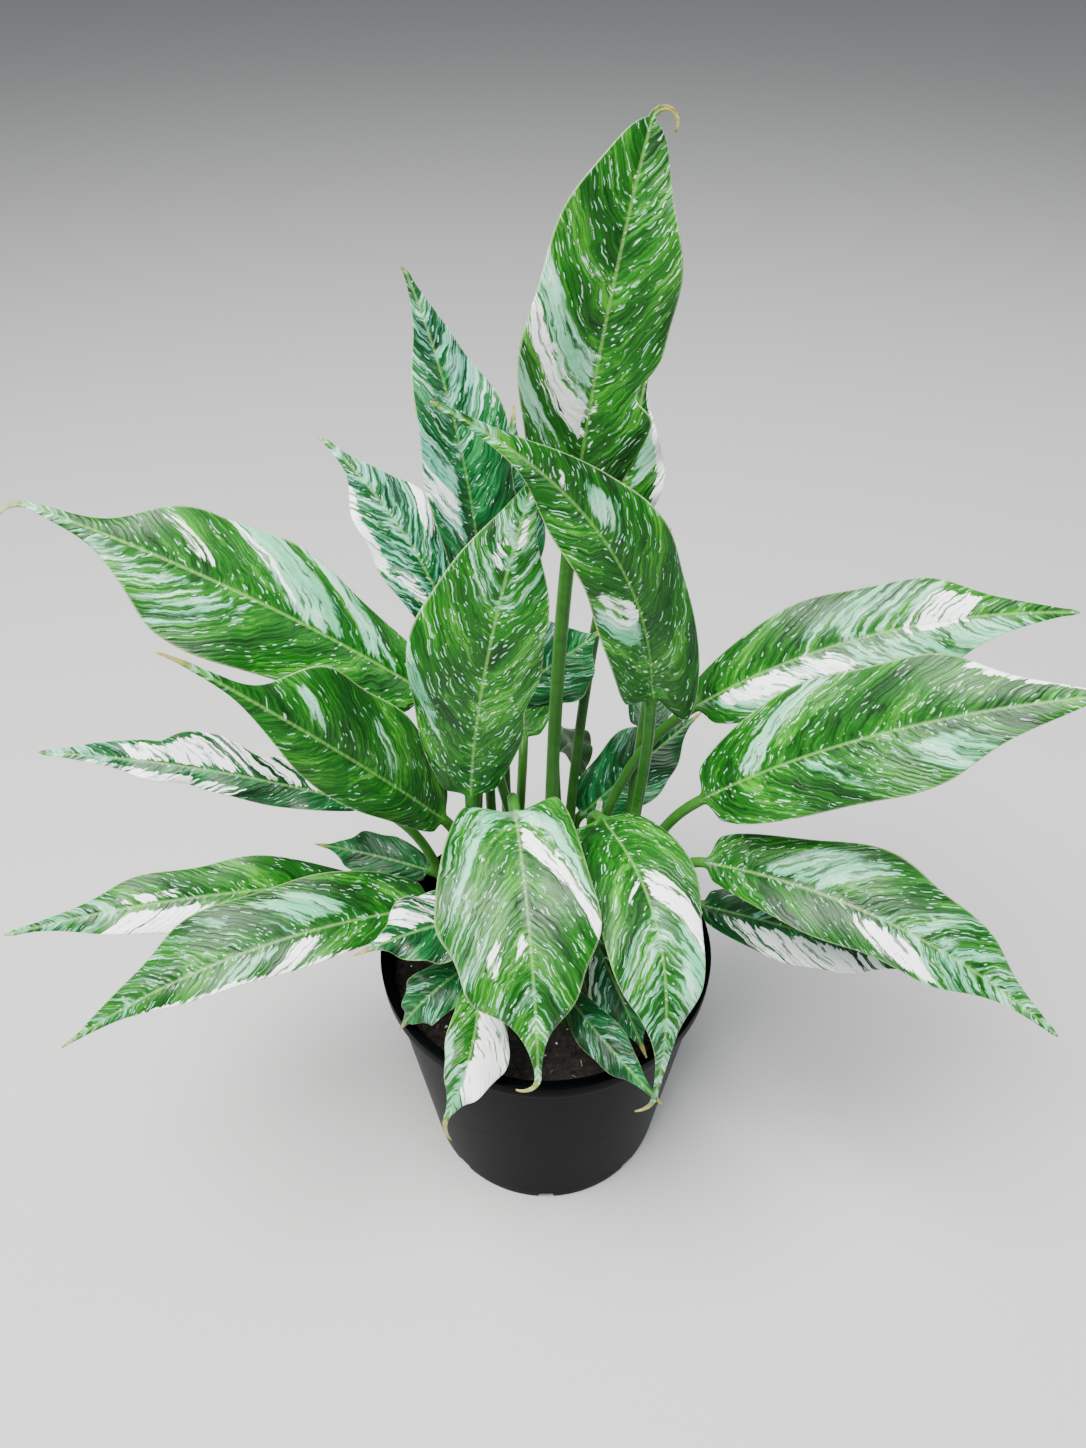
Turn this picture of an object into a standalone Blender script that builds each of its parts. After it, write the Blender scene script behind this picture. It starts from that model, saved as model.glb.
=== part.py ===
"""Potted peace lily: a variegated plant of separate leaves, standing in soil in a plastic nursery pot.

The origin is the centre of the pot's underside, +Z is up and -Y is the front. Blender works in
metres. The leaves are described in millimetres and turned to metres as their meshes are made.
"""

import math
from dataclasses import dataclass

import bmesh
import bpy
import numpy as np

MM = 0.001
UP = np.array([0, 0, 1.0])

# Pot: a thin moulded wall that leans outwards, with a wide folded rim.
RIM_RADIUS = 100
RIM_INNER_RADIUS = 94.5
RIM_DEPTH = 10
POT_HEIGHT = 168
POT_BASE_RADIUS = 76
WALL = 1.5
FLOOR = 2
WALL_TOP_RADIUS = RIM_INNER_RADIUS + WALL
TURN_STEPS = 48

# Drain holes through the corner between wall and floor, one of them at the front.
DRAIN_COUNT = 8
DRAIN_RADIUS = 6
DRAIN_CENTRE = POT_BASE_RADIUS - 3
DRAIN_HEIGHT = 6

# Soil: it fills the pot to a little below the rim and stands off the wall by a hair.
SOIL_TOP = 150
SOIL_MOUND = 3
SOIL_GAP = 0.3
SOIL_STEPS = 30
STALK_DEPTH = 25

# Leaves: the blade is one skin with a rib under its midrib, and runs into a round stalk.
BLADE_THICKNESS = 0.9
RIB_DEPTH = 2.2
TAIL_START_HALF = 1.6
TAIL_END_HALF = 0.45
FOOT_SWELL = 0.3
VEIN_SWEEP = 0.5
STALK_RISE = 0.4
STALK_ARRIVE = 0.3
ACROSS = np.array([-1, -0.55, 0, 0.55, 1])
STALK_STATIONS = (0, 0.2, 0.42, 0.62, 0.79, 0.92)
BLADE_STATIONS = (0, 0.025, 0.07, 0.13, 0.2, 0.28, 0.36, 0.45, 0.54, 0.63, 0.72, 0.8, 0.87, 0.94)
SHORT_BLADE = 105  # a blade shorter than this has fewer stations
SHORT_BLADE_STATIONS = (0, 0.04, 0.12, 0.22, 0.35, 0.48, 0.62, 0.76, 0.88)


def unit(vectors):
    vectors = np.asarray(vectors, float)
    return vectors / np.linalg.norm(vectors, axis=-1, keepdims=True)


def smooth(x):
    """Rises from 0 to 1 with level ends."""
    x = np.clip(x, 0, 1)
    return x * x * (3 - 2 * x)


def bezier(a, b, c, d, count):
    t = np.linspace(0, 1, count)[:, None]
    return (1 - t) ** 3 * a + 3 * (1 - t) ** 2 * t * b + 3 * (1 - t) * t**2 * c + t**3 * d


def distances(path):
    steps = np.linalg.norm(np.diff(path, axis=0), axis=1)
    return np.concatenate([[0], np.cumsum(steps)])


def point_at(path, marks, distance):
    return np.stack([np.interp(distance, marks, path[:, k]) for k in range(3)], -1)


def direction_at(path, marks, distance, reach=2.5):
    ahead = point_at(path, marks, np.minimum(distance + reach, marks[-1]))
    behind = point_at(path, marks, np.maximum(distance - reach, 0))
    return unit(ahead - behind)


@dataclass
class Leaf:
    """One leaf with its stalk, in millimetres and degrees.

    foot is where the stalk leaves the soil, joint where it becomes the midrib, and tip where the
    blade ends. face is the azimuth and elevation that the upper side looks to. halves are the
    widest half widths, left and right of the midrib as one looks along it from the stalk.
    """

    name: str
    foot: tuple
    joint: tuple
    tip: tuple
    face: tuple
    halves: tuple
    arch: float = 8  # how far the midrib bows towards the upper side
    swerve: float = 0  # and towards the right half
    fold: float = 15  # how far each half rises from the midrib
    cup: float = 0.25  # how far it rolls back before its edge
    belly: float = 0.38  # where the blade is widest, as a share of its length
    full: float = 0.85  # under 1 is a blunt outline, over 1 a lean one
    drip: float = 0.3  # how much leaner it is drawn out towards the tip
    uneven: float = 0.05  # slow swelling and narrowing of the outline
    notches: tuple = ()  # dents in the outline: side, place, length and depth, as shares
    lobes: tuple = (0.25, 0.25)  # how far each half reaches back past the joint
    wave: float = 2  # height of the waves along the edge
    waves: float = 3
    tail: tuple = (10, 0, 0)  # thread at the tip: length, turn down, turn to the right
    stem: float = 3  # radius of the stalk
    tone: str = "green"

    def __post_init__(self):
        self.foot_point = np.array([*self.foot, SOIL_TOP], float)
        azimuth, elevation = np.radians(self.face)
        level = math.cos(elevation)
        self.facing = np.array(
            [math.cos(azimuth) * level, math.sin(azimuth) * level, math.sin(elevation)]
        )
        start, end = np.array(self.joint, float), np.array(self.tip, float)
        chord = end - start
        right = unit(np.cross(chord, self.facing))
        upper = np.cross(right, unit(chord))
        bow = (self.arch * upper + self.swerve * right) * 4 / 3
        blade = bezier(start, start + chord * 0.33 + bow, start + chord * 0.67 + bow, end, 61)
        self.body_length = distances(blade)[-1]
        self.midrib = np.vstack([blade, self.tail_points(blade)])
        self.midrib_marks = distances(self.midrib)
        self.full_length = self.midrib_marks[-1]
        self.last = self.full_length / self.body_length
        first = unit(blade[1] - blade[0])
        reach = np.linalg.norm(start - self.foot_point)
        above = bezier(
            self.foot_point,
            self.foot_point + UP * reach * STALK_RISE,
            start - first * reach * STALK_ARRIVE,
            start,
            41,
        )
        self.stalk = np.vstack([[self.foot_point - UP * STALK_DEPTH], above])
        self.stalk_marks = distances(self.stalk)

    def tail_points(self, blade, steps=8):
        """The drawn-out tip, an arc that goes on from the blade."""
        length, down, side = self.tail
        ahead = unit(blade[-1] - blade[-2])
        right = unit(np.cross(ahead, self.facing))
        upper = np.cross(right, ahead)
        whole_turn = math.radians(math.hypot(down, side))
        sideways = (right * side - upper * down) / (math.hypot(down, side) or 1)
        points, at = [], blade[-1]
        for i in range(steps):
            turn = whole_turn * (i + 0.5) / steps
            at = at + (ahead * math.cos(turn) + sideways * math.sin(turn)) * length / steps
            points.append(at)
        return np.array(points)

    def frames(self, distance):
        """Point, direction, right and upper at distances along the midrib, also before the joint."""
        distance = np.asarray(distance, float)
        inside = np.clip(distance, 0, self.full_length)
        ahead = direction_at(self.midrib, self.midrib_marks, inside)
        point = point_at(self.midrib, self.midrib_marks, inside)
        point = point + ahead * (distance - inside)[..., None]
        right = unit(np.cross(ahead, self.facing))
        return point, ahead, right, np.cross(right, ahead)

    def phase(self, v):
        """Where the waves of each half begin, so that no two leaves match."""
        return 0.7 * self.foot[0] + 0.3 * self.foot[1] + np.where(v < 0, 0, 1.9)

    def half_width(self, t, v):
        """Half width at t, the share of the blade's length, on the side of v."""
        widest = np.where(v < 0, self.halves[0], self.halves[1])
        power = math.log(0.5) / math.log(self.belly)
        body = widest * np.maximum(np.sin(math.pi * np.clip(t, 0, 1) ** power), 0) ** self.full
        body = body * (1 - self.drip * smooth((t - 0.58) / 0.34))
        body = body * (1 + self.uneven * np.sin(2 * math.pi * 2.6 * t + self.phase(v)))
        for side, place, length, depth in self.notches:
            dent = depth * np.exp(-(((t - place) / length) ** 2))
            body = body * (1 - dent * (v * side > 0))
        thread = np.interp(t, [0.5, 1, self.last], [0, TAIL_START_HALF, TAIL_END_HALF])
        return np.hypot(body, thread)

    def surface(self, t, v):
        """Points on the blade: t from 0 at the joint, past 1 on the tail, v from -1 to 1 across."""
        t, v = np.broadcast_arrays(np.asarray(t, float), np.asarray(v, float))
        half, off = self.half_width(t, v), np.abs(v)
        base = 1 - smooth(t / 0.25)
        lobe = np.where(v < 0, self.lobes[0], self.lobes[1])
        slant = VEIN_SWEEP * (1 - base) - 1.6 * lobe * base
        slant = slant * half * off**1.3 * np.clip((self.last - t) / 0.15, 0, 1)
        point, _, right, upper = self.frames(t * self.body_length + slant)
        rise = half * (math.tan(math.radians(self.fold)) * off - self.cup * v * v)
        ripple = self.wave * off**2 * np.sin(2 * math.pi * self.waves * t + self.phase(v))
        rise = rise + ripple * smooth(t / 0.15) * smooth((1 - t) / 0.25)
        return point + right * (v * half)[..., None] + upper * rise[..., None]

    def stalk_frames(self, stations):
        """Point, right and upper along the stalk, turned as little as it can be."""
        distance = np.asarray(stations) * self.stalk_marks[-1]
        points = point_at(self.stalk, self.stalk_marks, distance)
        aheads = direction_at(self.stalk, self.stalk_marks, distance)
        upper = self.frames(np.zeros(1))[3][0]
        uppers = []
        for ahead in aheads[::-1]:
            upper = unit(upper - ahead * np.dot(upper, ahead))
            uppers.append(upper)
        uppers = np.array(uppers[::-1])
        return points, np.cross(aheads, uppers), uppers

    def foot_radius(self):
        return self.stem * (1 + FOOT_SWELL)


def round_ring(point, right, upper, radius):
    """Points round a stalk: over the top from left to right, then back below."""
    count = len(ACROSS)
    angles = [math.pi * (1 - (i + 0.5) / count) for i in range(count)]
    top = [point + (right * math.cos(a) + upper * math.sin(a)) * radius for a in angles]
    low = [point + (right * math.cos(a) - upper * math.sin(a)) * radius for a in angles]
    return np.array(top + low[::-1])


def blade_ring(leaf, t):
    """Points round the blade in the order of round_ring, growing out of the stalk near the joint."""
    point, _, right, upper = (x[0] for x in leaf.frames(np.array([t * leaf.body_length])))
    skin = leaf.surface(t, ACROSS)
    across = leaf.surface(t, np.minimum(ACROSS + 0.02, 1)) - leaf.surface(t, np.maximum(ACROSS - 0.02, -1))
    ahead = leaf.surface(min(t + 0.01, leaf.last), ACROSS) - leaf.surface(max(t - 0.01, 0), ACROSS)
    normals = np.cross(across, ahead)
    normals = np.where((normals @ upper)[:, None] < 0, -normals, normals)
    normals = unit(normals + upper * 1e-6)
    below = BLADE_THICKNESS / 2 + RIB_DEPTH * (1 - smooth(t)) * (ACROSS == 0)
    top = skin + normals * BLADE_THICKNESS / 2
    low = skin - normals * below[:, None]
    flat = np.vstack([top, low[::-1]])
    grown = smooth(t / 0.06)
    return round_ring(point, right, upper, leaf.stem) * (1 - grown) + flat * grown


def skin_faces(ring_count, across):
    """Triangles between the rings, split alike above and below and mirrored about the midrib."""
    size = 2 * across
    faces = []
    for i in range(ring_count - 1):
        for j in range(size):
            a, b = i * size + j, i * size + (j + 1) % size
            d, c = a + size, b + size
            above = j < across - 1
            strip = j if above else size - 2 - j
            if above == (strip >= across // 2):
                faces += [(a, c, d), (a, b, c)]
            else:
                faces += [(a, b, d), (b, c, d)]
    last = (ring_count - 1) * size
    for j in range(across - 1):
        low = size - 1 - j
        faces += [(low - 1, j + 1, j), (low, low - 1, j)]
        faces += [(last + j, last + j + 1, last + low - 1), (last + j, last + low - 1, last + low)]
    return faces


def leaf_skin(leaf):
    """Points in millimetres and faces of the whole leaf, from the buried foot to the tail's end."""
    points, rights, uppers = leaf.stalk_frames(STALK_STATIONS)
    radii = leaf.stem * (1 + FOOT_SWELL * (1 - smooth(np.array(STALK_STATIONS) / 0.5)))
    rings = [round_ring(*ring) for ring in zip(points, rights, uppers, radii)]
    body = SHORT_BLADE_STATIONS if leaf.body_length < SHORT_BLADE else BLADE_STATIONS
    rings += [blade_ring(leaf, t) for t in body + (1, (1 + leaf.last) / 2, leaf.last)]
    return np.vstack(rings), skin_faces(len(rings), len(ACROSS))


# The leaves, from the top of the plant down. Each stands where the photographed one does.
LEAVES = (
    Leaf("leaf_tall", (2, 22), (12, 38, 431), (40, 50, 603), (-84, 15), (34, 28), arch=8, swerve=-4,
         fold=22, cup=0.15, belly=0.43, full=0.62, lobes=(0.1, 0.1), drip=0.1, notches=((1, 0.36, 0.05, 0.34),), wave=3, waves=2.3,
         tail=(19, 10, 200), stem=3.7),
    Leaf("leaf_left_back", (-32, 42), (-33, 44, 374), (-62, 76, 536), (-55, 15), (24, 25), arch=8,
         swerve=4, fold=24, belly=0.4, tail=(5, 0, -30), tone="blue_green"),
    Leaf("leaf_arched", (45, 16), (52, 0, 355), (-40, -20, 517), (-60, 22), (25, 28), arch=14,
         swerve=20, fold=22, belly=0.25, full=0.9, drip=0.5, lobes=(0.1, 1.2), tail=(6, 10, 0)),
    Leaf("leaf_behind_tall", (13, 50), (33, 75, 391), (48, 95, 477), (-100, 10), (19, 19), arch=5,
         wave=3),
    Leaf("leaf_pale_back", (-24, 62), (-23, 80, 362), (-17, 100, 455), (-90, 10), (20, 20),
         tone="blue_green"),
    Leaf("leaf_front_tall", (-18, 4), (-39, -16, 305), (-5, 6, 475), (-90, 25), (36, 27), arch=10,
         swerve=-5, lobes=(0.3, 0.3), notches=((1, 0.3, 0.07, 0.2), (-1, 0.08, 0.06, 0.2))),
    Leaf("leaf_left_middle", (-44, 31), (-46, 34, 366), (-105, 66, 461), (-50, 35), (22, 23),
         swerve=4, drip=0.5, tail=(6, 30, -20), tone="blue_green"),
    Leaf("leaf_big_left", (-52, 16), (-59, 10, 351), (-224, 0, 464), (-70, 50), (34, 32), arch=12,
         swerve=2, belly=0.46, full=0.64, drip=0.75, lobes=(0.15, 0.15), tail=(15, 20, -80)),
    Leaf("leaf_right_tip", (48, 36), (57, 48, 331), (62, 60, 405), (-90, 15), (13, 13), arch=4,
         tail=(12, 0, 0)),
    Leaf("leaf_left_low", (-44, 2), (-55, -6, 278), (-147, -58, 419), (-70, 50), (20, 34), arch=12, belly=0.44, full=0.68, drip=0.75,
         swerve=-1, tail=(18, 10, -10)),
    Leaf("leaf_big_right", (57, 26), (84, 5, 282), (251, -40, 391), (-100, 50), (36, 32), arch=12,
         swerve=-8),
    Leaf("leaf_right_back", (26, 34), (80, 40, 318), (262, 30, 388), (-105, 45), (27, 29), arch=14,
         swerve=-12, drip=0.4, tail=(4, 10, 0)),
    Leaf("leaf_behind_stalk", (-8, 40), (-19, 57, 316), (26, 63, 350), (-90, 35), (23, 23), arch=6,
         tone="blue_green"),
    Leaf("leaf_front_centre", (-10, -12), (-16, -24, 302), (-4, -128, 224), (-92, 45), (34, 43),
         arch=22, swerve=-3, belly=0.27, full=1, drip=0.55, lobes=(0.45, 0.55), tail=(16, 10, 110)),
    Leaf("leaf_white_left", (-60, 28), (-102, 30, 253), (-280, 35, 290), (-80, 45), (13, 20),
         arch=10, swerve=5, uneven=0.08, wave=4, waves=4, tail=(5, 20, 0), tone="blue_green",
         notches=((1, 0.32, 0.06, 0.3), (-1, 0.55, 0.07, 0.25), (1, 0.62, 0.05, 0.2))),
    Leaf("leaf_back_droop", (10, 64), (8, 88, 262), (26, 128, 182), (90, 45), (13, 13), arch=10,
         tone="blue_green"),
    Leaf("leaf_back_left", (-18, 76), (-14, 98, 246), (-22, 190, 212), (80, 60), (22, 22), arch=22,
         tail=(8, 20, 0)),
    Leaf("leaf_back_right", (30, 66), (60, 92, 258), (92, 172, 250), (70, 60), (20, 20), arch=20,
         tail=(8, 20, 0), tone="blue_green"),
    Leaf("leaf_front_right", (36, -8), (30, 2, 271), (55, -120, 193), (-75, 50), (27, 31), arch=44,
         swerve=-7, belly=0.26, full=1.1, drip=0.6, lobes=(0.3, 0.3), tail=(16, 20, 60)),
    Leaf("leaf_young_white", (18, 24), (27, 25, 206), (31, 29, 257), (-90, 20), (5, 5), arch=1,
         tail=(3, 0, 0), tone="white"),
    Leaf("leaf_right_dark", (30, 56), (22, 62, 214), (88, 88, 268), (-90, 50), (23, 21), tone="blue_green", arch=6),
    Leaf("leaf_far_left", (-65, 10), (-103, -5, 225), (-275, -60, 250), (-85, 55), (20, 18),
         arch=18, swerve=3, full=0.95, drip=0.35, uneven=0.1, tail=(6, 20, 0)),
    Leaf("leaf_right_front", (66, -2), (89, 0, 238), (259, -95, 215), (-100, 55), (32, 22), arch=26, full=0.8, drip=0.45, uneven=0.08,
         swerve=-10, tail=(6, 20, 0)),
    Leaf("leaf_left_front", (-54, -12), (-62, -20, 223), (-240, -95, 211), (-90, 60), (17, 30),
         arch=26, swerve=6, full=0.72, drip=0.4, tail=(14, 10, 0)),
    Leaf("leaf_under_left", (-40, -24), (-38, -30, 224), (-89, -70, 250), (-90, 65), (20, 20),
         wave=3, tone="blue_green"),
    Leaf("leaf_small_left", (-50, 40), (-73, 42, 185), (-139, 60, 188), (-90, 60), (15, 15), arch=6,
         tone="blue_green"),
    Leaf("leaf_under_right", (60, 10), (94, 15, 184), (217, -25, 174), (-90, 55), (20, 20), arch=14,
         wave=3, tone="blue_green"),
    Leaf("leaf_pot_left", (-50, -36), (-43, -40, 197), (-79, -62, 174), (-90, 60), (14, 14), tone="blue_green",
         arch=14),
    Leaf("leaf_front_small", (-30, -34), (-37, -55, 208), (-52, -116, 169), (-75, 45), (20, 14),
         arch=12, swerve=-3, wave=3, tail=(17, 10, -60)),
    Leaf("leaf_pot_right", (26, -24), (29, -35, 208), (51, -80, 182), (-90, 50), (18, 18), tone="blue_green"),
    Leaf("leaf_pot_right_low", (12, -46), (11, -64, 203), (54, -112, 185), (-90, 45), (11, 11), tone="blue_green",
         arch=10),
)

# Making the pieces in Blender.
for old in list(bpy.data.objects):
    bpy.data.objects.remove(old)


def collection(name):
    made = bpy.data.collections.new(name)
    bpy.context.scene.collection.children.link(made)
    return made


PLANT = collection("potted_peace_lily")
CUTTERS = collection("cutters")


def material(name, colour, roughness):
    """A Principled material. The colour is linear red, green and blue."""
    made = bpy.data.materials.new(name)
    made.use_nodes = True
    shader = made.node_tree.nodes["Principled BSDF"]
    shader.inputs["Base Color"].default_value = (*colour, 1)
    shader.inputs["Roughness"].default_value = roughness
    shader.inputs["Metallic"].default_value = 0
    return made


BLACK_PLASTIC = material("black_plastic", (0.012, 0.013, 0.015), 0.4)
POTTING_SOIL = material("potting_soil", (0.035, 0.022, 0.014), 0.95)
LEAF_MATERIALS = {
    "green": material("leaf_green", (0.07, 0.24, 0.05), 0.4),
    "blue_green": material("leaf_blue_green", (0.09, 0.25, 0.12), 0.4),
    "white": material("leaf_white", (0.7, 0.8, 0.62), 0.4),
}


def mesh_object(name, points, edges, faces, surface, group=PLANT):
    """An object from points in millimetres."""
    mesh = bpy.data.meshes.new(name)
    mesh.from_pydata([tuple(np.asarray(p) * MM) for p in points], edges, faces)
    mesh.materials.append(surface)
    obj = bpy.data.objects.new(name, mesh)
    group.objects.link(obj)
    return obj


def shade(obj, sharp_degrees):
    obj.data.shade_smooth()
    obj.data.set_sharp_from_angle(angle=math.radians(sharp_degrees))


def turned(name, profile, steps, surface):
    """A profile of radius and height turned round Z. It runs up the inside and down the outside."""
    points = [(radius, 0, height) for radius, height in profile]
    edges = [(i, i + 1) for i in range(len(points) - 1)]
    obj = mesh_object(name, points, edges, [], surface)
    screw = obj.modifiers.new("turn", "SCREW")
    screw.steps = screw.render_steps = steps
    screw.use_merge_vertices = True
    screw.merge_threshold = 0.00001
    return obj


def made_mesh(obj):
    """Puts the mesh that the modifiers make in the object, and takes the modifiers off."""
    graph = bpy.context.evaluated_depsgraph_get()
    mesh = bpy.data.meshes.new_from_object(obj.evaluated_get(graph))
    obj.modifiers.clear()
    obj.data = mesh


def cylinders(name, spots, low, high, sides):
    """One cutter of upright cylinders: each spot is x, y and radius."""
    shape = bmesh.new()
    for x, y, radius in spots:
        made = bmesh.ops.create_cone(
            shape, cap_ends=True, segments=sides, radius1=radius * MM, radius2=radius * MM,
            depth=(high - low) * MM,
        )
        middle = (x * MM, y * MM, (high + low) / 2 * MM)
        bmesh.ops.translate(shape, verts=made["verts"], vec=middle)
    mesh = bpy.data.meshes.new(name)
    shape.to_mesh(mesh)
    shape.free()
    obj = bpy.data.objects.new(name, mesh)
    CUTTERS.objects.link(obj)
    obj.hide_render = True
    obj.display_type = "WIRE"
    return obj


def cut(obj, cutter):
    modifier = obj.modifiers.new(cutter.name, "BOOLEAN")
    modifier.operation = "DIFFERENCE"
    modifier.solver = "EXACT"
    modifier.object = cutter


# Pot. The wall leans straight from the floor to the fold of the rim, whose skirt hangs free.
def wall_radius(height):
    """Outer radius of the wall."""
    share = height / (POT_HEIGHT - RIM_DEPTH)
    return POT_BASE_RADIUS + share * (WALL_TOP_RADIUS - POT_BASE_RADIUS)


skirt_inner = RIM_RADIUS - WALL
rim_low = POT_HEIGHT - RIM_DEPTH
pot = turned(
    "pot",
    (
        (0, FLOOR),
        (POT_BASE_RADIUS - 3.5, FLOOR),
        (wall_radius(4) - WALL, 4),
        (RIM_INNER_RADIUS, rim_low),
        (RIM_INNER_RADIUS, POT_HEIGHT - 0.6),
        (RIM_INNER_RADIUS + 0.6, POT_HEIGHT),
        (RIM_RADIUS - 0.8, POT_HEIGHT),
        (RIM_RADIUS, POT_HEIGHT - 0.8),
        (RIM_RADIUS - 0.4, rim_low),
        (skirt_inner, rim_low),
        (skirt_inner, POT_HEIGHT - WALL),
        (WALL_TOP_RADIUS, POT_HEIGHT - WALL),
        (WALL_TOP_RADIUS, rim_low),
        (wall_radius(2), 2),
        (POT_BASE_RADIUS - 1.5, 0),
        (0, 0),
    ),
    TURN_STEPS,
    BLACK_PLASTIC,
)
drain_spots = []
for i in range(DRAIN_COUNT):
    turn = math.tau * i / DRAIN_COUNT - math.pi / 2
    drain_spots.append((DRAIN_CENTRE * math.cos(turn), DRAIN_CENTRE * math.sin(turn), DRAIN_RADIUS))
cut(pot, cylinders("drain_holes", drain_spots, -5, DRAIN_HEIGHT, 16))
shade(pot, 40)

# Soil. Its top is mounded a little and uneven, with a plain blind hole for each stalk.
soil_low = FLOOR + SOIL_GAP
soil_edge = RIM_INNER_RADIUS - (rim_low - SOIL_TOP) / rim_low * (WALL_TOP_RADIUS - POT_BASE_RADIUS)
soil_radius = soil_edge - 2 * SOIL_GAP
soil = turned(
    "soil",
    (
        (0, SOIL_TOP),
        (16, SOIL_TOP),
        (34, SOIL_TOP),
        (52, SOIL_TOP),
        (70, SOIL_TOP),
        (soil_radius - 8, SOIL_TOP),
        (soil_radius, SOIL_TOP - 1),
        (wall_radius(5) - WALL - 2 * SOIL_GAP, 5),
        (POT_BASE_RADIUS - 5, soil_low),
        (0, soil_low),
    ),
    SOIL_STEPS,
    POTTING_SOIL,
)
made_mesh(soil)
for vertex in soil.data.vertices:
    x, y, z = vertex.co / MM
    if z > SOIL_TOP - 0.5:
        calm = 1 - smooth(math.hypot(x, y) / soil_radius)
        uneven = math.sin(x / 9 + 1) * math.cos(y / 7) + 0.6 * math.sin((x - y) / 5)
        vertex.co.z += (SOIL_MOUND * calm + 0.8 * uneven) * MM
hole_sides = 12
hole_spots = []
for leaf in LEAVES:
    hole_radius = (leaf.foot_radius() + SOIL_GAP) / math.cos(math.pi / hole_sides)
    hole_spots.append((*leaf.foot, hole_radius))
hole_low = SOIL_TOP - STALK_DEPTH - SOIL_GAP
cut(soil, cylinders("stalk_holes", hole_spots, hole_low, SOIL_TOP + 12, hole_sides))

# Leaves.
for leaf in LEAVES:
    points, faces = leaf_skin(leaf)
    shade(mesh_object(leaf.name, points, [], faces, LEAF_MATERIALS[leaf.tone]), 50)
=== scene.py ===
import math
from dataclasses import dataclass

import bpy
import numpy as np
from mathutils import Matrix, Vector, noise


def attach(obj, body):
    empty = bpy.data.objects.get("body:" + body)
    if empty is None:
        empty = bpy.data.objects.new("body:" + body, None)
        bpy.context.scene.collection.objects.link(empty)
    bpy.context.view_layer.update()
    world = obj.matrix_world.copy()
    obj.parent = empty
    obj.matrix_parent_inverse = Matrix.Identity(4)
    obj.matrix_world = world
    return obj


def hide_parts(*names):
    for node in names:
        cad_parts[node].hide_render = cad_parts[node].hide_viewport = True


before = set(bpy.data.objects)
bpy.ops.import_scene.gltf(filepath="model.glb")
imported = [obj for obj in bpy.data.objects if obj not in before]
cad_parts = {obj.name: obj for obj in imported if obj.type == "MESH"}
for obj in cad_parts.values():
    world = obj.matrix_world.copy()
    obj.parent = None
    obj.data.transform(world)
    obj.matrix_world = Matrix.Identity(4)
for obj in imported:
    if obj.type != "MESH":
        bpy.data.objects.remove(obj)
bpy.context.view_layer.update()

# Floor, light and camera.
# A pale matt floor stands in for the ground. A wide soft box hangs overhead, a little to the front
# and left, a weak one stands at the right, and the surround is even, as under thin cloud.


def linear(hex_colour):
    """The linear values of an sRGB hex colour, with alpha 1."""
    parts = [int(hex_colour[i : i + 2], 16) / 255 for i in (1, 3, 5)]
    return (*[c / 12.92 if c <= 0.04045 else ((c + 0.055) / 1.055) ** 2.4 for c in parts], 1)


def new_material(name):
    """A material with its tree and its Principled shader."""
    made = bpy.data.materials.new(name)
    made.use_nodes = True
    return made, made.node_tree, made.node_tree.nodes["Principled BSDF"]


def mesh_piece(name, points, faces, material):
    """A smooth object from points in metres."""
    mesh = bpy.data.meshes.new(name)
    mesh.from_pydata([tuple(p) for p in points], [], faces)
    mesh.materials.append(material)
    mesh.shade_smooth()
    piece = bpy.data.objects.new(name, mesh)
    bpy.context.scene.collection.objects.link(piece)
    return piece


# Matt paint, so that the floor shows soft shadows and no reflection of the pot.
floor_paint, _, floor_shader = new_material("matt_pale_floor")
floor_shader.inputs["Base Color"].default_value = linear("#bdbcba")
floor_shader.inputs["Roughness"].default_value = 0.8
FLOOR_HALF = 6.0  # metres
corners = [(x * FLOOR_HALF, y * FLOOR_HALF, 0) for x, y in ((-1, -1), (1, -1), (1, 1), (-1, 1))]
floor = mesh_piece("floor", corners, [(0, 1, 2, 3)], floor_paint)

world = bpy.data.worlds.new("studio")
world.use_nodes = True
surround = world.node_tree.nodes["Background"]
surround.inputs["Color"].default_value = linear("#e6ecf2")
surround.inputs["Strength"].default_value = 0.36
bpy.context.scene.world = world
PLANT_MIDDLE = (0, 0, 0.3)


def soft_box(name, place, size, watts, colour):
    """A square area light that faces the middle of the plant."""
    lamp = bpy.data.lights.new(name, "AREA")
    lamp.size, lamp.energy, lamp.color = size, watts, linear(colour)[:3]
    light = bpy.data.objects.new(name, lamp)
    light.location = place
    light.rotation_euler = (Vector(PLANT_MIDDLE) - Vector(place)).to_track_quat("-Z", "Y").to_euler()
    bpy.context.scene.collection.objects.link(light)


soft_box("overhead", (-0.5, -0.5, 2.2), 1.4, 174, "#ffffff")
soft_box("side", (1.8, 0.6, 1.5), 1.2, 22, "#f3f8ff")

CAMERA_PLACE = (-0.0017, -0.421, 0.695)
CAMERA_DOWN = 40.1  # degrees below level, looking along +Y
SENSOR_HEIGHT = 36  # mm, along the picture's long side
LENS = 27.05  # mm
camera = bpy.data.objects.new("camera", bpy.data.cameras.new("camera"))
camera.location = CAMERA_PLACE
camera.rotation_euler = (math.radians(90 - CAMERA_DOWN), 0, 0)
camera.data.sensor_fit = "VERTICAL"
camera.data.sensor_height = SENSOR_HEIGHT
camera.data.lens = LENS
camera.data.clip_start = 0.01
bpy.context.scene.collection.objects.link(camera)
bpy.context.scene.camera = camera

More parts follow.
